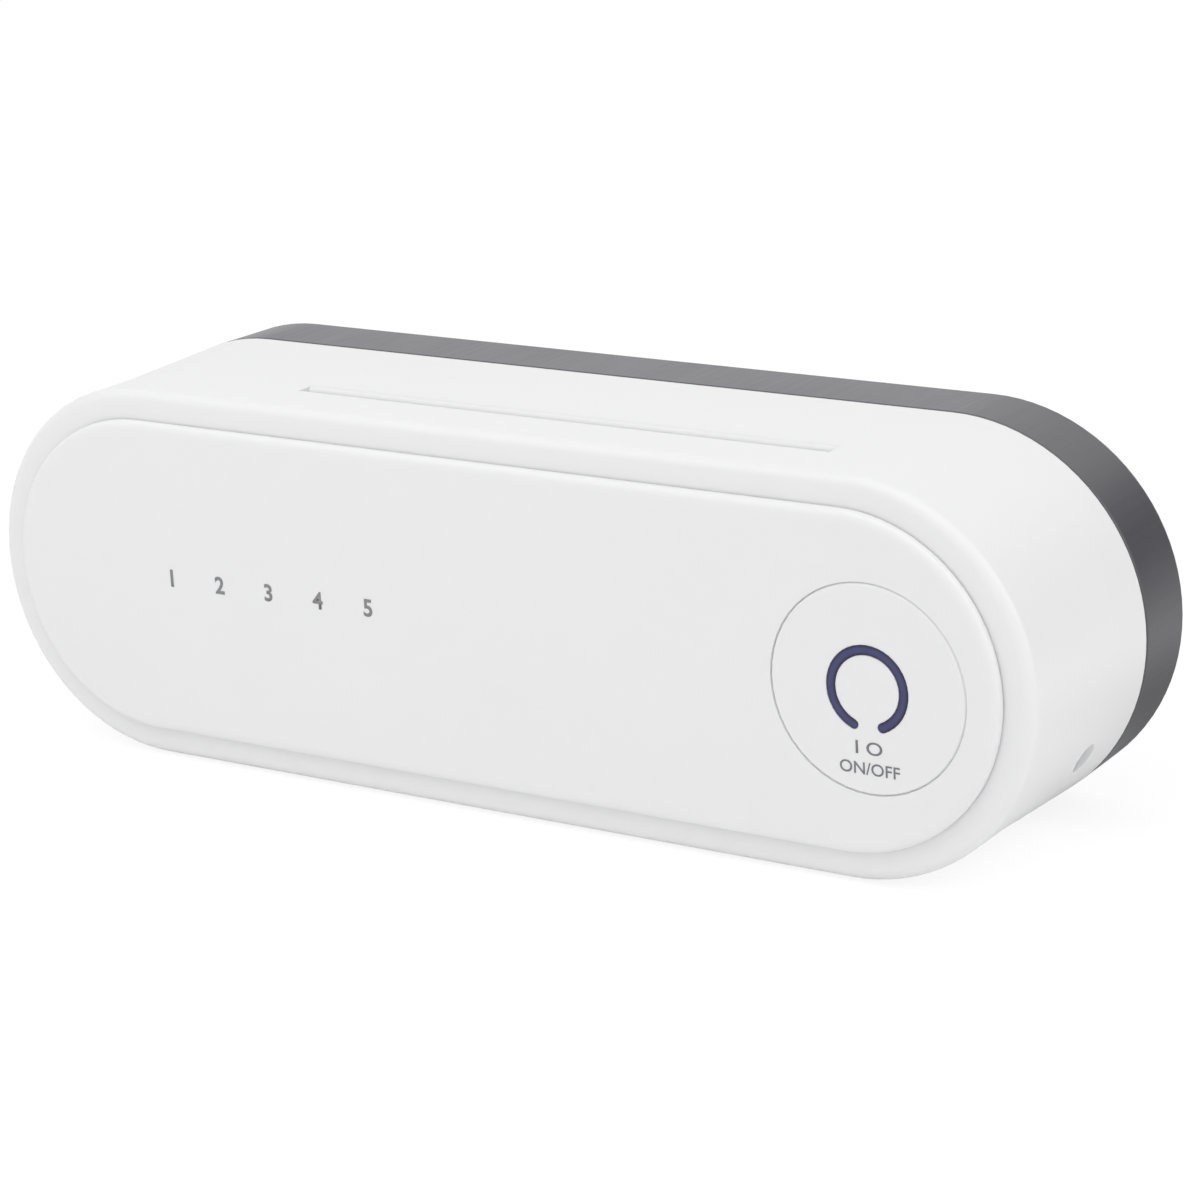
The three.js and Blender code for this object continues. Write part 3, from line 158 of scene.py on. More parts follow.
class Ray(Enum):
    """The kinds of ray that the floor and the sky tell apart."""

    CAMERA = "Is Camera Ray"
    GLOSSY = "Is Glossy Ray"
    TRANSMISSION = "Is Transmission Ray"


class Cells(Enum):
    """The distances that a cell pattern measures."""

    TO_CENTRE = "F1"
    TO_EDGE = "DISTANCE_TO_EDGE"


class Value:
    """A number socket of a shader that takes part in Python arithmetic."""

    def __init__(self, shader: "Shader", socket: bpy.types.NodeSocket) -> None:
        """Keeps the socket and the shader that it belongs to."""
        self.shader = shader
        self.socket = socket

    def _math(self, operation: str, *values: Source) -> "Value":
        """Adds one Math node.

        Args:
            operation: The node's operation.
            values: Numbers or Values, in the order of the node's sockets.

        Returns:
            The node's result.
        """
        node = self.shader.node("ShaderNodeMath", {"operation": operation}, dict(enumerate(values)))
        return Value(self.shader, node.outputs[0])

    def __add__(self, other: Source) -> "Value":
        """Sum."""
        return self._math("ADD", self, other)

    __radd__ = __add__

    def __sub__(self, other: Source) -> "Value":
        """Difference."""
        return self._math("SUBTRACT", self, other)

    def __rsub__(self, other: Source) -> "Value":
        """Difference with this value last."""
        return self._math("SUBTRACT", other, self)

    def __mul__(self, other: Source) -> "Value":
        """Product."""
        return self._math("MULTIPLY", self, other)

    __rmul__ = __mul__

    def size(self) -> "Value":
        """This value without its sign."""
        return self._math("ABSOLUTE", self)

    def above(self, limit: float) -> "Value":
        """1 where this value is above the limit, and 0 elsewhere."""
        return self._math("GREATER_THAN", self, limit)

    def swing(self, amount: float) -> "Value":
        """This noise as a swing to both sides of 0, the amount from its lowest to its highest."""
        return (self - 0.5) * amount


class Shader:
    """The nodes of a material or of the world."""

    def __init__(self, owner: bpy.types.Material | bpy.types.World) -> None:
        """Leaves the owner with nothing but a new output node.

        Args:
            owner: The material or the world.
        """
        owner.use_nodes = True
        self.owner = owner
        self.tree = owner.node_tree
        self.tree.nodes.clear()
        kind = "World" if isinstance(owner, bpy.types.World) else "Material"
        self.output = self.tree.nodes.new(f"ShaderNodeOutput{kind}")

    @classmethod
    def of_material(cls, name: str) -> "Shader":
        """The shader of a new material of that name."""
        return cls(bpy.data.materials.new(name))

    def node(self, kind: str, settings: dict[str, Any], inputs: dict[str | int, Source]) -> bpy.types.Node:
        """Adds one node.

        Args:
            kind: The node's type.
            settings: Properties that are set before the sockets.
            inputs: Socket name or number to a value, a socket or a Value.

        Returns:
            The new node.
        """
        made = self.tree.nodes.new(kind)
        for key, value in settings.items():
            setattr(made, key, value)
        for key, value in inputs.items():
            self._feed(made.inputs[key], value)
        return made

    def _feed(self, socket: bpy.types.NodeSocket, value: Source) -> None:
        """Links or sets one socket.

        Args:
            socket: The socket of a node.
            value: What goes into it.
        """
        if isinstance(value, Value):
            value = value.socket
        if isinstance(value, bpy.types.NodeSocket):
            self.tree.links.new(value, socket)
        elif socket.type == "RGBA":
            socket.default_value = (*value, 1.0)
        else:
            socket.default_value = value

    def place(self) -> bpy.types.NodeSocket:
        """The object's own coordinates, in metres."""
        return self.node("ShaderNodeTexCoord", {}, {}).outputs["Object"]

    def way(self) -> bpy.types.NodeSocket:
        """The way into the sky that a ray takes."""
        return self.node("ShaderNodeTexCoord", {}, {}).outputs["Generated"]

    def ray(self, kind: Ray) -> Value:
        """1 for rays of that kind, and 0 for others."""
        return Value(self, self.node("ShaderNodeLightPath", {}, {}).outputs[kind.value])

    def vector(self, operation: str, *values: Source) -> bpy.types.NodeSocket:
        """A place or way that one Vector Math node works out.

        Args:
            operation: The node's operation.
            values: Places or ways, in the order of the node's sockets.

        Returns:
            The node's vector.
        """
        made = self.node("ShaderNodeVectorMath", {"operation": operation}, dict(enumerate(values)))
        return made.outputs["Vector"]

    def measure(self, operation: str, *values: Source) -> Value:
        """A number that one Vector Math node works out.

        Args:
            operation: The node's operation.
            values: Places or ways, in the order of the node's sockets.

        Returns:
            The node's number.
        """
        made = self.node("ShaderNodeVectorMath", {"operation": operation}, dict(enumerate(values)))
        return Value(self, made.outputs["Value"])

    def noise(self, size: float, detail: float = 2.0, stretch: float = 1.0) -> Value:
        """Cloudy noise.

        Args:
            size: Size of a patch in millimetres.
            detail: Number of finer layers.
            stretch: How many times longer a patch is along the depth than it is wide.

        Returns:
            A value around 0.5.
        """
        place = self.place()
        if stretch != 1.0:
            place = self.vector("MULTIPLY", place, (1.0, 1.0 / stretch, 1.0))
        made = self.node("ShaderNodeTexNoise", {}, {
            "Vector": place, "Scale": 1.0 / (size * MM), "Detail": detail,
        })
        return Value(self, made.outputs["Fac"])

    def cells(self, size: float, feature: Cells = Cells.TO_CENTRE) -> Value:
        """A distance in a random cell pattern.

        Args:
            size: Size of a cell in millimetres.
            feature: The distance that is measured.

        Returns:
            The distance as a value.
        """
        made = self.node("ShaderNodeTexVoronoi", {"feature": feature.value}, {
            "Vector": self.place(), "Scale": 1.0 / (size * MM),
        })
        return Value(self, made.outputs["Distance"])

    def smooth(self, value: Value, low: float, high: float) -> Value:
        """A soft step from 0 at the low limit to 1 at the high one.

        Args:
            value: The value that is compared.
            low: The limit below which the result is 0.
            high: The limit above which the result is 1.

        Returns:
            The step's value.
        """
        made = self.node("ShaderNodeMapRange", {"interpolation_type": "SMOOTHSTEP"}, {
            "Value": value, "From Min": low, "From Max": high,
        })
        return Value(self, made.outputs["Result"])

    def mix(self, mask: Source, first: Source, second: Source) -> bpy.types.NodeSocket:
        """A colour between two colours.

        Args:
            mask: 0 for the first colour and 1 for the second.
            first: A colour or socket.
            second: A colour or socket.

        Returns:
            The mixed colour's socket.
        """
        colors = {0: mask, MIX_FIRST: first, MIX_SECOND: second}
        return self.node("ShaderNodeMix", {"data_type": "RGBA"}, colors).outputs[MIX_RESULT]

    def bump(self, height: Value, distance: float, strength: float = 1.0) -> bpy.types.NodeSocket:
        """A bumped normal.

        Args:
            height: Height from 0 to 1.
            distance: Real height of the relief in millimetres.
            strength: Strength of the effect.

        Returns:
            The normal's socket.
        """
        made = self.node("ShaderNodeBump", {}, {
            "Height": height, "Distance": distance * MM, "Strength": strength,
        })
        return made.outputs["Normal"]

    def surface(self, **inputs: Source) -> bpy.types.Material:
        """Adds the surface shader and shows it.

        Args:
            inputs: Socket names with spaces written as underscores, and their values.

        Returns:
            The finished material.
        """
        named = {key.replace("_", " "): value for key, value in inputs.items()}
        self.show(self.node("ShaderNodeBsdfPrincipled", {}, named).outputs[0])
        return self.owner

    def matt(self, color: Color) -> bpy.types.NodeSocket:
        """A matt surface of that colour."""
        return self.node("ShaderNodeBsdfDiffuse", {}, {"Color": color}).outputs[0]

    def background(self, color: Color, strength: float) -> bpy.types.NodeSocket:
        """An even sky of that colour and strength."""
        return self.node("ShaderNodeBackground", {}, {"Color": color, "Strength": strength}).outputs[0]

    def blend(self, mask: Value, first: Source, second: Source) -> bpy.types.NodeSocket:
        """A surface or sky between two others, the first where the mask is 0."""
        return self.node("ShaderNodeMixShader", {}, {0: mask, 1: first, 2: second}).outputs[0]

    def show(self, look: bpy.types.NodeSocket) -> None:
        """Links a surface or sky to the output."""
        self.tree.links.new(look, self.output.inputs["Surface"])


@dataclass(frozen=True)
class MouldedPlastic:
    """Injection-moulded plastic with a fine even grain.

    Satin is how strongly streaks along the depth change the gloss, tint is how much darker the darkest
    patches are, and milky is the share of light that goes into the plastic before it comes back.
    """

    name: str
    color: Color
    roughness: float
    grain: float = 0.35
    relief: float = 0.003
    tint: float = 0.012
    specular: float = 0.5
    satin: float = 0.0
    milky: float = 0.0
    milky_depth: float = 0.7
    cloud: float = 26.0
    cloud_detail: float = 3.0
    cloud_gloss: float = 0.06
    streak: float = 0.8
    streak_stretch: float = 30.0
    streak_tone: float = 0.8

    def build(self) -> bpy.types.Material:
        """Makes the material.

        Returns:
            The material.
        """
        shader = Shader.of_material(self.name)
        cloud = shader.noise(self.cloud, self.cloud_detail)
        color = shader.mix(cloud, toned(self.color, 1.0 - self.tint), self.color)
        roughness = self.roughness + cloud.swing(self.cloud_gloss)
        if self.satin > 0.0:
            lines = shader.noise(self.streak, stretch=self.streak_stretch)
            color = shader.mix(lines, toned(self.color, self.streak_tone), color)
            roughness = roughness + lines.swing(self.satin)
        return shader.surface(
            Base_Color=color,
            Roughness=roughness,
            Normal=shader.bump(shader.noise(self.grain), self.relief),
            Specular_IOR_Level=self.specular,
            Subsurface_Weight=self.milky,
            Subsurface_Radius=(1.0, 1.0, 1.0),
            Subsurface_Scale=self.milky_depth * MM,
        )


@dataclass(frozen=True)
class Metal:
    """Turned or pressed metal with fine drawn lines."""

    name: str
    color: Color = (0.60, 0.61, 0.63)
    roughness: float = 0.28
    line: float = 0.12
    line_detail: float = 1.0
    relief: float = 0.002
    wear: float = 1.5
    wear_detail: float = 3.0
    wear_tone: float = 0.85
    wear_gloss: float = 0.15

    def build(self) -> bpy.types.Material:
        """Makes the material.

        Returns:
            The material.
        """
        shader = Shader.of_material(self.name)
        wear = shader.noise(self.wear, self.wear_detail)
        return shader.surface(
            Base_Color=shader.mix(wear, toned(self.color, self.wear_tone), self.color),
            Metallic=1.0,
            Roughness=self.roughness + wear.swing(self.wear_gloss),
            Normal=shader.bump(shader.noise(self.line, self.line_detail), self.relief),
        )


@dataclass(frozen=True)
class CircuitBoard:
    """Green solder mask with paler copper tracks under it and bare pads."""

    name: str
    mask: Color = (0.015, 0.14, 0.05)
    track: Color = (0.04, 0.26, 0.10)
    pad: Color = (0.62, 0.60, 0.52)
    track_spacing: float = 4.5
    track_width: float = 0.07
    pad_spacing: float = 3.1
    pad_width: float = 0.16
    pad_metal: float = 0.8
    roughness: float = 0.34
    blotch: float = 2.0
    blotch_gloss: float = 0.1
    relief: float = 0.02
    relief_strength: float = 0.6

    def build(self) -> bpy.types.Material:
        """Makes the material.

        Returns:
            The material.
        """
        shader = Shader.of_material(self.name)
        tracks = 1.0 - shader.cells(self.track_spacing, Cells.TO_EDGE).above(self.track_width)
        pads = 1.0 - shader.cells(self.pad_spacing).above(self.pad_width)
        color = shader.mix(tracks, self.mask, self.track)
        return shader.surface(
            Base_Color=shader.mix(pads, color, self.pad),
            Metallic=pads * self.pad_metal,
            Roughness=self.roughness + shader.noise(self.blotch).swing(self.blotch_gloss),
            Normal=shader.bump(tracks, self.relief, self.relief_strength),
        )


@dataclass(frozen=True)
class Foam:
    """Closed-cell foam tape."""

    name: str
    color: Color = (0.045, 0.045, 0.05)
    roughness: float = 0.92
    cell: float = 0.5
    cell_tone: float = 1.6
    relief: float = 0.05

    def build(self) -> bpy.types.Material:
        """Makes the material.

        Returns:
            The material.
        """
        shader = Shader.of_material(self.name)
        cell = shader.cells(self.cell)
        return shader.surface(
            Base_Color=shader.mix(cell, self.color, toned(self.color, self.cell_tone)),
            Roughness=self.roughness,
            Normal=shader.bump(cell, self.relief),
        )


@dataclass(frozen=True)
class LightGuide:
    """Deep indigo glossy acrylic, rounded off towards the ring's edges, with painted shade that darkens
    them.
    """

    name: str
    color: Color = (0.025, 0.026, 0.105)
    paler: Color = (0.047, 0.050, 0.185)
    # Painted shade for the ring's rounded edges.
    rim: Color = (0.006, 0.006, 0.035)
    roughness: float = 0.22
    coat: float = 0.12
    blotch: float = 3.0
    centre: tuple[float, float] = BUTTON_CENTRE
    middle_radius: float = 7.6
    edge_start: float = 0.18
    edge_end: float = 0.945
    crown: float = 0.12

    def build(self) -> bpy.types.Material:
        """Makes the material.

        Returns:
            The material.
        """
        shader = Shader.of_material(self.name)
        flat = shader.vector("MULTIPLY", shader.place(), (1.0, 0.0, 1.0))
        middle = (self.centre[0] * MM, 0.0, self.centre[1] * MM)
        off = (shader.measure("DISTANCE", flat, middle) - self.middle_radius * MM).size()
        edge = shader.smooth(off, self.edge_start * MM, self.edge_end * MM)
        tone = shader.mix(shader.noise(self.blotch), self.color, self.paler)
        return shader.surface(
            # Painted shade: the colour goes dark towards the ring's edges, where the same mask bumps them
            # round.
            Base_Color=shader.mix(edge, tone, self.rim),
            Roughness=self.roughness,
            Normal=shader.bump(1.0 - edge, self.crown),
            Coat_Weight=self.coat,
        )


@dataclass(frozen=True)
class ClearPane:
    """Clear acrylic over the lamps."""

    name: str
    color: Color = (0.82, 0.88, 0.97)
    roughness: float = 0.08
    cover: float = 0.26
    haze: float = 9.0
    haze_detail: float = 3.0
    haze_share: float = 0.06
    relief: float = 0.004

    def build(self) -> bpy.types.Material:
        """Makes the material.

        Returns:
            The material.
        """
        shader = Shader.of_material(self.name)
        haze = shader.noise(self.haze, self.haze_detail)
        return shader.surface(
            Base_Color=self.color,
            Roughness=self.roughness + haze * self.haze_share,
            Alpha=self.cover + haze * self.haze_share,
            Normal=shader.bump(haze, self.relief),
        )


@dataclass(frozen=True)
class LampBody:
    """Pale ceramic lamp body with a yellow phosphor window."""

    name: str
    color: Color = (0.86, 0.84, 0.78)
    phosphor: Color = (0.80, 0.58, 0.12)
    roughness: float = 0.3
    patch: float = 1.8
    patch_detail: float = 1.0
    patch_limit: float = 0.5
    grain: float = 0.3
    relief: float = 0.004

    def build(self) -> bpy.types.Material:
        """Makes the material.

        Returns:
            The material.
        """
        shader = Shader.of_material(self.name)
        patch = shader.noise(self.patch, self.patch_detail).above(self.patch_limit)
        return shader.surface(
            Base_Color=shader.mix(patch, self.color, self.phosphor),
            Roughness=self.roughness,
            Normal=shader.bump(shader.noise(self.grain), self.relief),
        )


@dataclass(frozen=True)
class Ink:
    """Screen-printed ink."""

    name: str
    color: Color
    roughness: float = 0.5
    grain: float = 0.25
    thin_tone: float = 1.12
    relief: float = 0.002

    def build(self) -> bpy.types.Material:
        """Makes the material.

        Returns:
            The material.
        """
        shader = Shader.of_material(self.name)
        cover = shader.noise(self.grain)
        return shader.surface(
            Base_Color=shader.mix(cover, self.color, toned(self.color, self.thin_tone)),
            Roughness=self.roughness,
            Normal=shader.bump(cover, self.relief),
        )


class Finish(Enum):
    """Every finish of the holder, by the record's material slot where it has one."""

    WHITE = MouldedPlastic("white_plastic", (0.855, 0.855, 0.860), 0.36, milky=0.5)
    DARK = MouldedPlastic("dark_plastic", (0.055, 0.054, 0.066), 0.36, grain=0.3, relief=0.004, tint=0.08,
                          specular=1.0, satin=0.12)
    INNER = MouldedPlastic("inner_plastic", (0.80, 0.80, 0.81), 0.45)
    # Paler than the white plastic: painted light that lifts the shade inside the air outlet.
    BAFFLE_PAINTED_LIGHT = MouldedPlastic("baffle_painted_light", (0.94, 0.94, 0.945), 0.5, milky=0.5)
    INDIGO = LightGuide("indigo")
    STEEL = Metal("steel")
    BLACK = MouldedPlastic("black_plastic", (0.022, 0.022, 0.025), 0.45, tint=0.1)
    BOARD = CircuitBoard("circuit_board")
    LAMP = LampBody("lamp")
    CLEAR = ClearPane("clear_pane")
    FOAM = Foam("foam")
    CERAMIC = MouldedPlastic("ceramic", (0.66, 0.62, 0.54), 0.7, grain=0.6, relief=0.02, tint=0.08)
    WRAP = MouldedPlastic("battery_wrap", (0.07, 0.16, 0.46), 0.25, grain=3.0, relief=0.01, tint=0.05)
    FRONT_INK = Ink("front_ink", (0.235, 0.235, 0.24))
    BUTTON_INK = Ink("button_ink", (0.18, 0.18, 0.195))


class Palette:
    """Builds each finish once."""

    def __init__(self) -> None:
        """Starts with no finish built."""
        self._made: dict[Finish, bpy.types.Material] = {}

    def get(self, finish: Finish) -> bpy.types.Material:
        """The material of a finish.

        Args:
            finish: The finish.

        Returns:
            Its material.
        """
        if finish not in self._made:
            self._made[finish] = finish.value.build()
        return self._made[finish]

    def cover(self, piece: bpy.types.Object, finish: Finish) -> None:
        """Gives the whole piece one finish."""
        piece.data.materials.clear()
        piece.data.materials.append(self.get(finish))


@dataclass
class Assembly:
    """A group of CAD nodes that are dressed together."""

    palette: Palette
    nodes: dict[str, Finish] = field(default_factory=dict)

    def dress(self) -> None:
        """Gives every node of the group its finish and smooth shading."""
        for name, finish in self.nodes.items():
            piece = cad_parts[name]
            self.palette.cover(piece, finish)
            if piece.data.has_custom_normals:
                with bpy.context.temp_override(object=piece, active_object=piece, selected_objects=[piece]):
                    bpy.ops.mesh.customdata_custom_splitnormals_clear()
            shade(piece)
            LOG.info("dressed %s as %s", name, finish.value.name)


@dataclass
class SlotLip:
    """The rounded shoulder on the back edge of the air outlet.

    The wall is the depth of the outlet's back wall, and the seat is how far the shoulder reaches into it.
    """

    left: float = -50.02
    right: float = 73.52
    wall: float = 17.6
    seat: float = 0.05
    top: float = 39.2
    radius: float = 1.3
    steps: int = 8

    def build(self, palette: Palette) -> bpy.types.Object:
        """Makes the shoulder.

        Args:
            palette: The finishes.

        Returns:
            The new piece.
        """
        piece = skin("slot_lip", [self._section(self.left), self._section(self.right)])
        palette.cover(piece, Finish.WHITE)
        shade(piece)
        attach(piece, Body.HOUSING.value)
        LOG.info("made slot_lip")
        return piece

    def _section(self, x: float) -> list[Vector]:
        """The shoulder's quarter-round section.

        Args:
            x: Where along the outlet it lies.

        Returns:
            The section's corners.
        """
        low = self.top - self.radius
        back = self.wall + self.seat
        corners = [at(x, back, low), at(x, back, self.top)]
        for step in range(self.steps + 1):
            turn = math.pi / 2.0 * step / self.steps
            depth = self.wall - self.radius * math.sin(turn)
            corners.append(at(x, depth, low + self.radius * math.cos(turn)))
        return corners


@dataclass
class Housing(Assembly):
    """The white shell, the dark rear case and what is fixed to them."""

    nodes: dict[str, Finish] = field(default_factory=lambda: {
        "main_shell": Finish.WHITE,
        "rear_case": Finish.DARK,
        **{f"case_screw_{index}": Finish.STEEL for index in range(1, 5)},
        "wall_bracket": Finish.INNER,
        "adhesive_pad": Finish.FOAM,
        "keeper_plate_left": Finish.STEEL,
        "keeper_plate_right": Finish.STEEL,
        "vent_baffle": Finish.BAFFLE_PAINTED_LIGHT,
        "charge_socket": Finish.WHITE,
    })

    def dress(self) -> None:
        """Dresses the housing and rounds the edge of the air outlet."""
        super().dress()
        SlotLip().build(self.palette)


@dataclass
class Chamber(Assembly):
    """The brush chamber with its rack and lamps."""

    nodes: dict[str, Finish] = field(default_factory=lambda: {
        "chamber_liner": Finish.INNER,
        "brush_rack": Finish.INNER,
        "rack_screw_1": Finish.STEEL,
        "rack_screw_2": Finish.STEEL,
        "lamp_board": Finish.BOARD,
        "lamp_window": Finish.CLEAR,
        **{f"uv_lamp_{index}": Finish.LAMP for index in range(1, 6)},
    })


@dataclass
class Dryer(Assembly):
    """The duct, heater and fan."""

    nodes: dict[str, Finish] = field(default_factory=lambda: {
        "air_duct": Finish.BLACK,
        "air_heater": Finish.CERAMIC,
        "fan_frame": Finish.BLACK,
        "fan_wheel": Finish.BLACK,
    })


@dataclass
class Electronics(Assembly):
    """The main board and the battery."""

    nodes: dict[str, Finish] = field(default_factory=lambda: {
        "main_board": Finish.BOARD,
        "control_chip": Finish.BLACK,
        "battery_cell": Finish.WRAP,
        "battery_cradle": Finish.BLACK,
    })


@dataclass
class Legend:
    """A printed mark on a face that looks to the front.

    The weight makes the letters bolder, as a share of the font's size. Where no width is given, it
    follows from the height.
    """

    name: str
    text: str
    body: Body
    finish: Finish
    centre: tuple[float, float]
    height: float
    weight: float
    width: float | None = None
    depth: float = FACE_DEPTH
    thickness: float = 0.02
    slot: str = "white_plastic"
    curve_steps: int = 4

    def build(self, palette: Palette) -> bpy.types.Object:
        """Makes the mark as a thin layer of ink.

        Args:
            palette: The finishes.

        Returns:
            The new piece.
        """
        curve = bpy.data.curves.new(self.name, "FONT")
        curve.body = self.text
        curve.size = 1.0
        curve.offset = self.weight
        curve.resolution_u = self.curve_steps
        letters = add_object(self.name, curve)
        bpy.context.view_layer.update()
        mesh = bpy.data.meshes.new_from_object(letters.evaluated_get(
            bpy.context.evaluated_depsgraph_get()))
        bpy.data.objects.remove(letters)
        piece = add_object(self.name, mesh)
        self._fit(mesh)
        palette.cover(piece, self.finish)
        solid = piece.modifiers.new("ink layer", "SOLIDIFY")
        solid.thickness = self.thickness * MM
        solid.offset = 0.0
        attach(piece, self.body.value)
        LOG.info("printed %s", self.name)
        return piece

    def _fit(self, mesh: bpy.types.Mesh) -> None:
        """Scales the letters to their box and stands them on the face.

        Args:
            mesh: The letters, flat and upright as Blender writes them.
        """
        xs = [vertex.co.x for vertex in mesh.vertices]
        ys = [vertex.co.y for vertex in mesh.vertices]
        up = self.height / (max(ys) - min(ys))
        across = self.width / (max(xs) - min(xs)) if self.width else up
        middle_x = (max(xs) + min(xs)) / 2.0
        middle_y = (max(ys) + min(ys)) / 2.0
        for vertex in mesh.vertices:
            vertex.co = at(
                self.centre[0] + (vertex.co.x - middle_x) * across,
                self.depth,
                self.centre[1] + (vertex.co.y - middle_y) * up,
            )


@dataclass
class Seal:
    """The thin white lip that closes the gap round the button against splashes.

    Inner and outer are its radii.
    """

    centre: tuple[float, float] = BUTTON_CENTRE
    inner: float = 20.37
    outer: float = 20.6
    depth: float = -1.75
    thickness: float = 0.1
    steps: int = 144

    def build(self, palette: Palette) -> bpy.types.Object:
        """Makes the lip.

        Args:
            palette: The finishes.

        Returns:
            The new piece.
        """
        piece = skin("button_seal", [self._section(step) for step in range(self.steps)], looped=True)
        palette.cover(piece, Finish.WHITE)
        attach(piece, Body.DOOR.value)
        LOG.info("made button_seal")
        return piece

    def _section(self, step: int) -> list[Vector]:
        """The lip's flat section.

        Args:
            step: The step of the ring that it lies on.

        Returns:
            The section's corners.
        """
        turn = 2.0 * math.pi * step / self.steps
        half = self.thickness / 2.0
        section = ((self.inner, -half), (self.outer, -half), (self.outer, half), (self.inner, half))
        return [
            at(self.centre[0] + radius * math.cos(turn), self.depth + rise,
               self.centre[1] + radius * math.sin(turn))
            for radius, rise in section
        ]


@dataclass
class ReturnSpring:
    """The coil behind the button.

    Front and back are the depths of the wire's middle at the coil's ends.
    """

    centre: tuple[float, float] = BUTTON_CENTRE
    radius: float = 5.0
    wire: float = 0.25
    turns: int = 4
    front: float = 0.084
    back: float = 6.667
    travel: float = 0.8
    steps: int = 36
    sides: int = 12

    def build(self, palette: Palette) -> bpy.types.Object:
        """Makes the coil in place of the stiff one of the CAD model.

        Args:
            palette: The finishes.

        Returns:
            The new piece.
        """
        piece = skin("return_spring", [self._ring(step) for step in range(self.turns * self.steps + 1)])
        piece.data.shade_smooth()
        palette.cover(piece, Finish.STEEL)
        anchor = at(self.centre[0], self.back + self.wire, self.centre[1])
        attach(piece, Body.DOOR.value)
        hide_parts("button_spring")
        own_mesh(piece)
        LOG.info("made return_spring")
        return piece

    def _ring(self, step: int) -> list[Vector]:
        """The round section of the wire.

        Args:
            step: The step of the coil that it lies on.

        Returns:
            The section's corners.
        """
        turn = 2.0 * math.pi * step / self.steps
        middle = self.front + (self.back - self.front) * step / (self.turns * self.steps)
        corners = []
        for side in range(self.sides):
            angle = 2.0 * math.pi * side / self.sides
            reach = self.radius + self.wire * math.cos(angle)
            depth = middle + self.wire * math.sin(angle)
            corners.append(at(
                self.centre[0] + reach * math.cos(turn), depth, self.centre[1] + reach * math.sin(turn)))
        return corners


@dataclass
class Door(Assembly):
    """The front door with its hinge, magnets and button unit."""

    nodes: dict[str, Finish] = field(default_factory=lambda: {
        "front_door": Finish.WHITE,
        "door_back_cover": Finish.INNER,
        "hinge_pin_left": Finish.STEEL,
        "hinge_pin_right": Finish.STEEL,
        "door_magnet_left": Finish.STEEL,
        "door_magnet_right": Finish.STEEL,
        "button_board": Finish.BOARD,
        "push_switch": Finish.BLACK,
        **{f"status_led_{index}": Finish.LAMP for index in range(1, 4)},
    })
    places: int = 5
    numbers_centre: tuple[float, float] = (-49.4, 0.72)
    numbers_pitch: float = 12.5
    numbers_height: float = 3.7
    numbers_weight: float = 0.025

    def dress(self) -> None:
        """Dresses the door, closes the gap round the button and prints the place numbers."""
        super().dress()
        Seal().build(self.palette)
        ReturnSpring().build(self.palette)
        for place in range(1, self.places + 1):
            x = self.numbers_centre[0] + (place - (self.places + 1) / 2.0) * self.numbers_pitch
            Legend(
                name=f"place_number_{place}", text=str(place), body=Body.DOOR, finish=Finish.FRONT_INK,
                centre=(x, self.numbers_centre[1]), height=self.numbers_height, weight=self.numbers_weight,
            ).build(self.palette)


@dataclass
class Button(Assembly):
    """The round button with its light ring."""

    nodes: dict[str, Finish] = field(default_factory=lambda: {
        "power_button": Finish.WHITE,
        "light_ring": Finish.INDIGO,
        "switch_plunger": Finish.BLACK,
    })
    mark_weight: float = 0.008
    upper_centre: tuple[float, float] = (88.73, -11.7)
    upper_width: float = 5.6
    upper_height: float = 2.6
    lower_centre: tuple[float, float] = (88.78, -15.74)
    lower_width: float = 12.6
    lower_height: float = 2.4

    def dress(self) -> None:
        """Dresses the button and prints its marks."""
        super().dress()
        Legend(
            name="button_mark_upper", text="I O", body=Body.BUTTON, finish=Finish.BUTTON_INK,
            centre=self.upper_centre, width=self.upper_width, height=self.upper_height,
            weight=self.mark_weight,
        ).build(self.palette)
        Legend(
            name="button_mark_lower", text="ON/OFF", body=Body.BUTTON, finish=Finish.BUTTON_INK,
            centre=self.lower_centre, width=self.lower_width, height=self.lower_height,
            weight=self.mark_weight,
        ).build(self.palette)


@dataclass(frozen=True)
class SoftLamp:
    """A square lamp. Its place, target and side are in metres, and its power in watts."""

    name: str
    place: Place
    target: Place
    side: float
    power: float

    def build(self) -> None:
        """Hangs the lamp and turns it to its target."""
        data = bpy.data.lights.new(self.name, "AREA")
        data.size = self.side
        data.energy = self.power
        lamp = add_object(self.name, data)
        lamp.location = self.place
        direction = Vector(self.target) - Vector(self.place)
        lamp.rotation_euler = direction.to_track_quat("-Z", "Y").to_euler()


@dataclass(frozen=True)
class PhotoCamera:
    """The camera at the photograph's place and angle. What it clips is in metres."""

    place: Place = (409.78, -566.39, 218.34)
    right: Place = (0.83757, 0.54419, -0.04828)
    up: Place = (-0.12156, 0.27179, 0.95465)
    lens: float = 112.38
    sensor: float = 36.0
    nearest: float = 0.01
    farthest: float = 100.0

    def build(self) -> None:
        """Makes the camera and looks through it."""
        data = bpy.data.cameras.new("camera")
        data.sensor_width = self.sensor
        data.lens = self.lens
        data.clip_start = self.nearest
        data.clip_end = self.farthest
        camera = add_object("camera", data)
        right = Vector(self.right).normalized()
        up = Vector(self.up)
        up = (up - up.dot(right) * right).normalized()
        back = right.cross(up)
        turn = Matrix((right, up, back)).transposed().to_4x4()
        camera.matrix_world = Matrix.Translation(at(*self.place)) @ turn
        bpy.context.scene.camera = camera


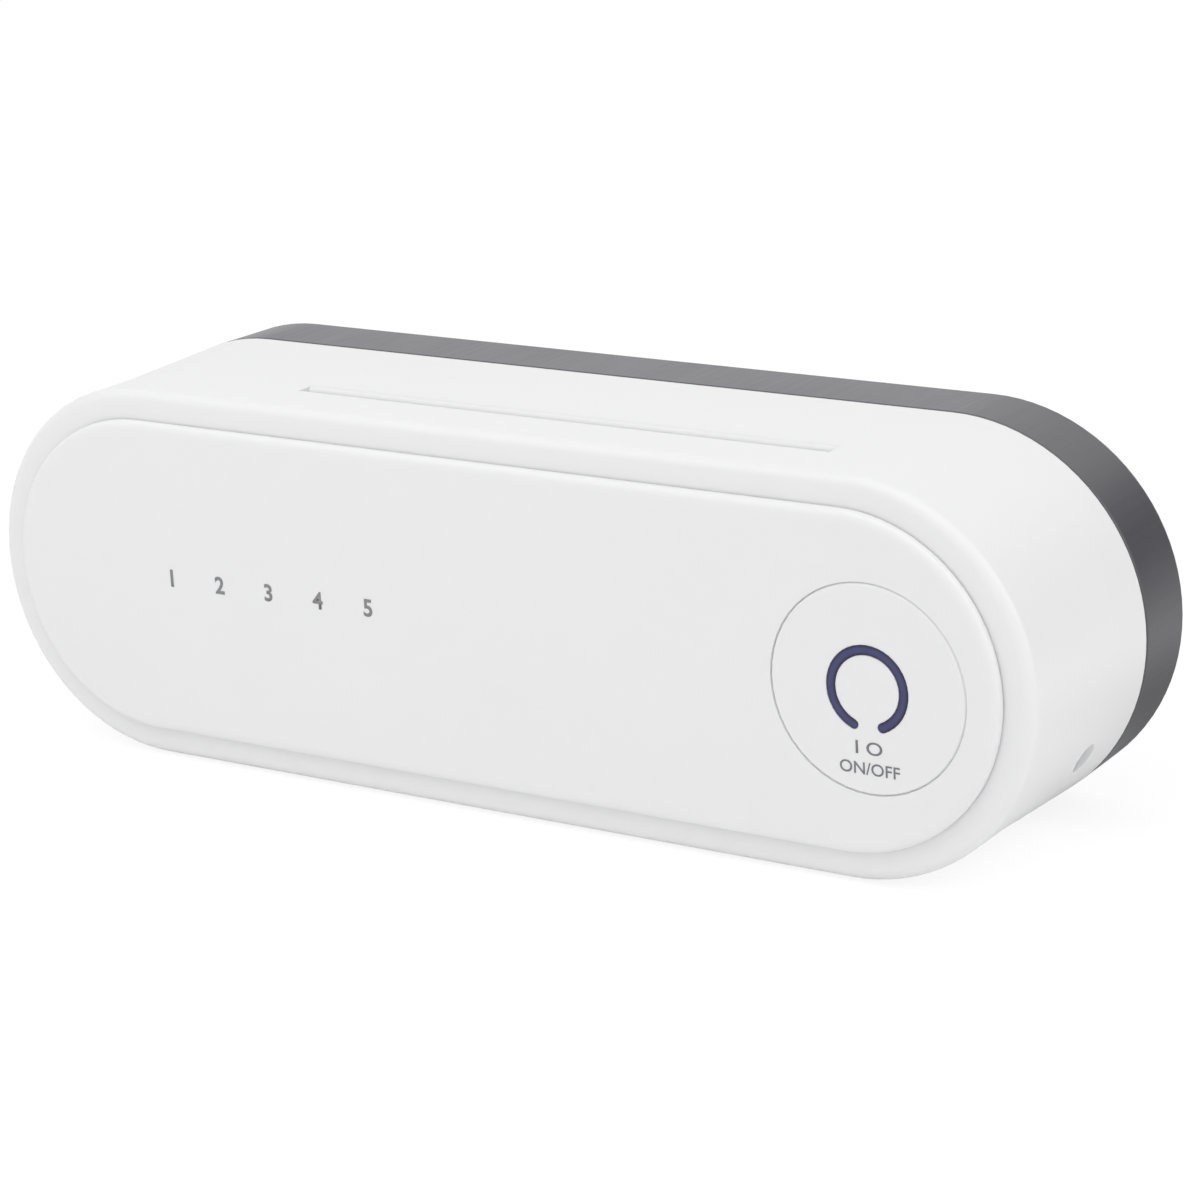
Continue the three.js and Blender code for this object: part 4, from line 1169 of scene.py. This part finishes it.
@dataclass
class Studio:
    """The floor, the lamps, the world and the camera.

    The floor's half side and all distances on it are in metres. The card is a soft dark area behind
    the holder that only its gloss sees. Close behind the holder, the floor also shows gloss a painted
    shadow.
    """

    floor_height: float = -40.0
    floor_half: float = 15.0
    paper: Color = (0.95, 0.95, 0.95)
    painted_shadow_paper: Color = (0.4, 0.4, 0.4)
    glow: float = 1.08
    glow_share: float = 0.8
    glow_from: float = 0.10
    glow_full: float = 0.50
    painted_shadow_until: float = 0.13
    # Where the painted shadow that gloss sees on the floor fades out, in metres.
    painted_shadow_gone: float = 0.20
    behind_from: float = -0.01
    behind_full: float = 0.03
    sky_light: float = 0.705
    sky_white: float = 1.0
    card_way: Place = (0.50, 0.865, 0.05)
    card_edge: float = 0.855
    card_core: float = 0.985
    card_depth: float = 0.80
    lamps: tuple[SoftLamp, ...] = (
        SoftLamp("top_lamp", (0.1, -0.35, 0.6), (0.03, -0.04, 0.0), 0.6, 1.0),
        SoftLamp("right_lamp", (0.75, -0.12, 0.45), (0.08, -0.03, 0.0), 0.5, 1.1),
        SoftLamp("left_lamp", (-0.18, -0.28, 0.26), (-0.02, -0.06, 0.0), 0.25, 0.15),
    )
    camera: PhotoCamera = PhotoCamera()

    def build(self) -> None:
        """Makes everything that isn't the holder."""
        self._floor()
        self._world()
        for lamp in self.lamps:
            lamp.build()
        self.camera.build()
        bpy.context.scene.view_settings.view_transform = "Standard"

    def _floor(self) -> None:
        """Lays a plain square floor."""
        half, height = self.floor_half, self.floor_height * MM
        corners = [(x * half, y * half, height) for x, y in ((-1, -1), (1, -1), (1, 1), (-1, 1))]
        mesh = bpy.data.meshes.new("floor")
        mesh.from_pydata(corners, [], [(0, 1, 2, 3)])
        mesh.materials.append(self._paper())
        add_object("floor", mesh)

    def _paper(self) -> bpy.types.Material:
        """Pale paper that looks white, still takes a soft shadow, and shows gloss a painted shadow near the
        holder.

        Returns:
            The floor's material.
        """
        shader = Shader.of_material("floor")
        place = shader.place()
        away = shader.measure("LENGTH", place)
        far = shader.smooth(away, self.glow_from, self.glow_full)
        # Painted shadow: close behind the holder, gloss sees the paper darker, as in the holder's shade.
        near = 1.0 - shader.smooth(away, self.painted_shadow_until, self.painted_shadow_gone)
        depth = Value(shader, shader.node("ShaderNodeSeparateXYZ", {}, {0: place}).outputs["Y"])
        behind = shader.smooth(depth, self.behind_from, self.behind_full)
        card = self._card(shader, place)
        gloss = shader.ray(Ray.GLOSSY)
        painted_shadow_and_card = (near * behind + card) * gloss
        seen = shader.ray(Ray.CAMERA)
        seen = seen + shader.ray(Ray.TRANSMISSION) * far
        seen = seen + gloss * far * (1.0 - card)
        paper = shader.blend(painted_shadow_and_card, shader.matt(self.paper), shader.matt(self.painted_shadow_paper))
        glow = shader.node("ShaderNodeEmission", {}, {"Color": WHITE_LIGHT, "Strength": self.glow})
        shader.show(shader.blend(seen * self.glow_share, paper, glow.outputs[0]))
        return shader.owner

    def _world(self) -> None:
        """A white sky that lights softly and shows white in gloss and glass."""
        world = bpy.data.worlds.new("studio")
        bpy.context.scene.world = world
        sky = Shader(world)
        gloss = sky.ray(Ray.GLOSSY)
        seen = gloss + sky.ray(Ray.CAMERA) + sky.ray(Ray.TRANSMISSION)
        light = sky.background(WHITE_LIGHT, self.sky_light)
        white = sky.background(WHITE_LIGHT, self.sky_white)
        card = gloss * self._card(sky, sky.way())
        sky.show(sky.blend(card, sky.blend(seen, light, white), sky.background(NO_LIGHT, 1.0)))

    def _card(self, shader: Shader, way: bpy.types.NodeSocket) -> Value:
        """How dark the card makes a way that gloss looks along.

        Args:
            shader: The shader of the floor or the world.
            way: The place on the floor, or the way into the sky.

        Returns:
            0 beside the card, and the card's depth in its middle.
        """
        match = shader.measure("DOT_PRODUCT", shader.vector("NORMALIZE", way), self.card_way)
        return shader.smooth(match, self.card_edge, self.card_core) * self.card_depth


def main() -> None:
    """Dresses the holder and builds the studio."""
    logging.basicConfig(level=logging.INFO, format="%(name)s: %(message)s")
    palette = Palette()
    for kind in (Housing, Chamber, Dryer, Electronics, Door, Button):
        kind(palette).dress()
    Studio().build()


if __name__ == "__main__":
    main()
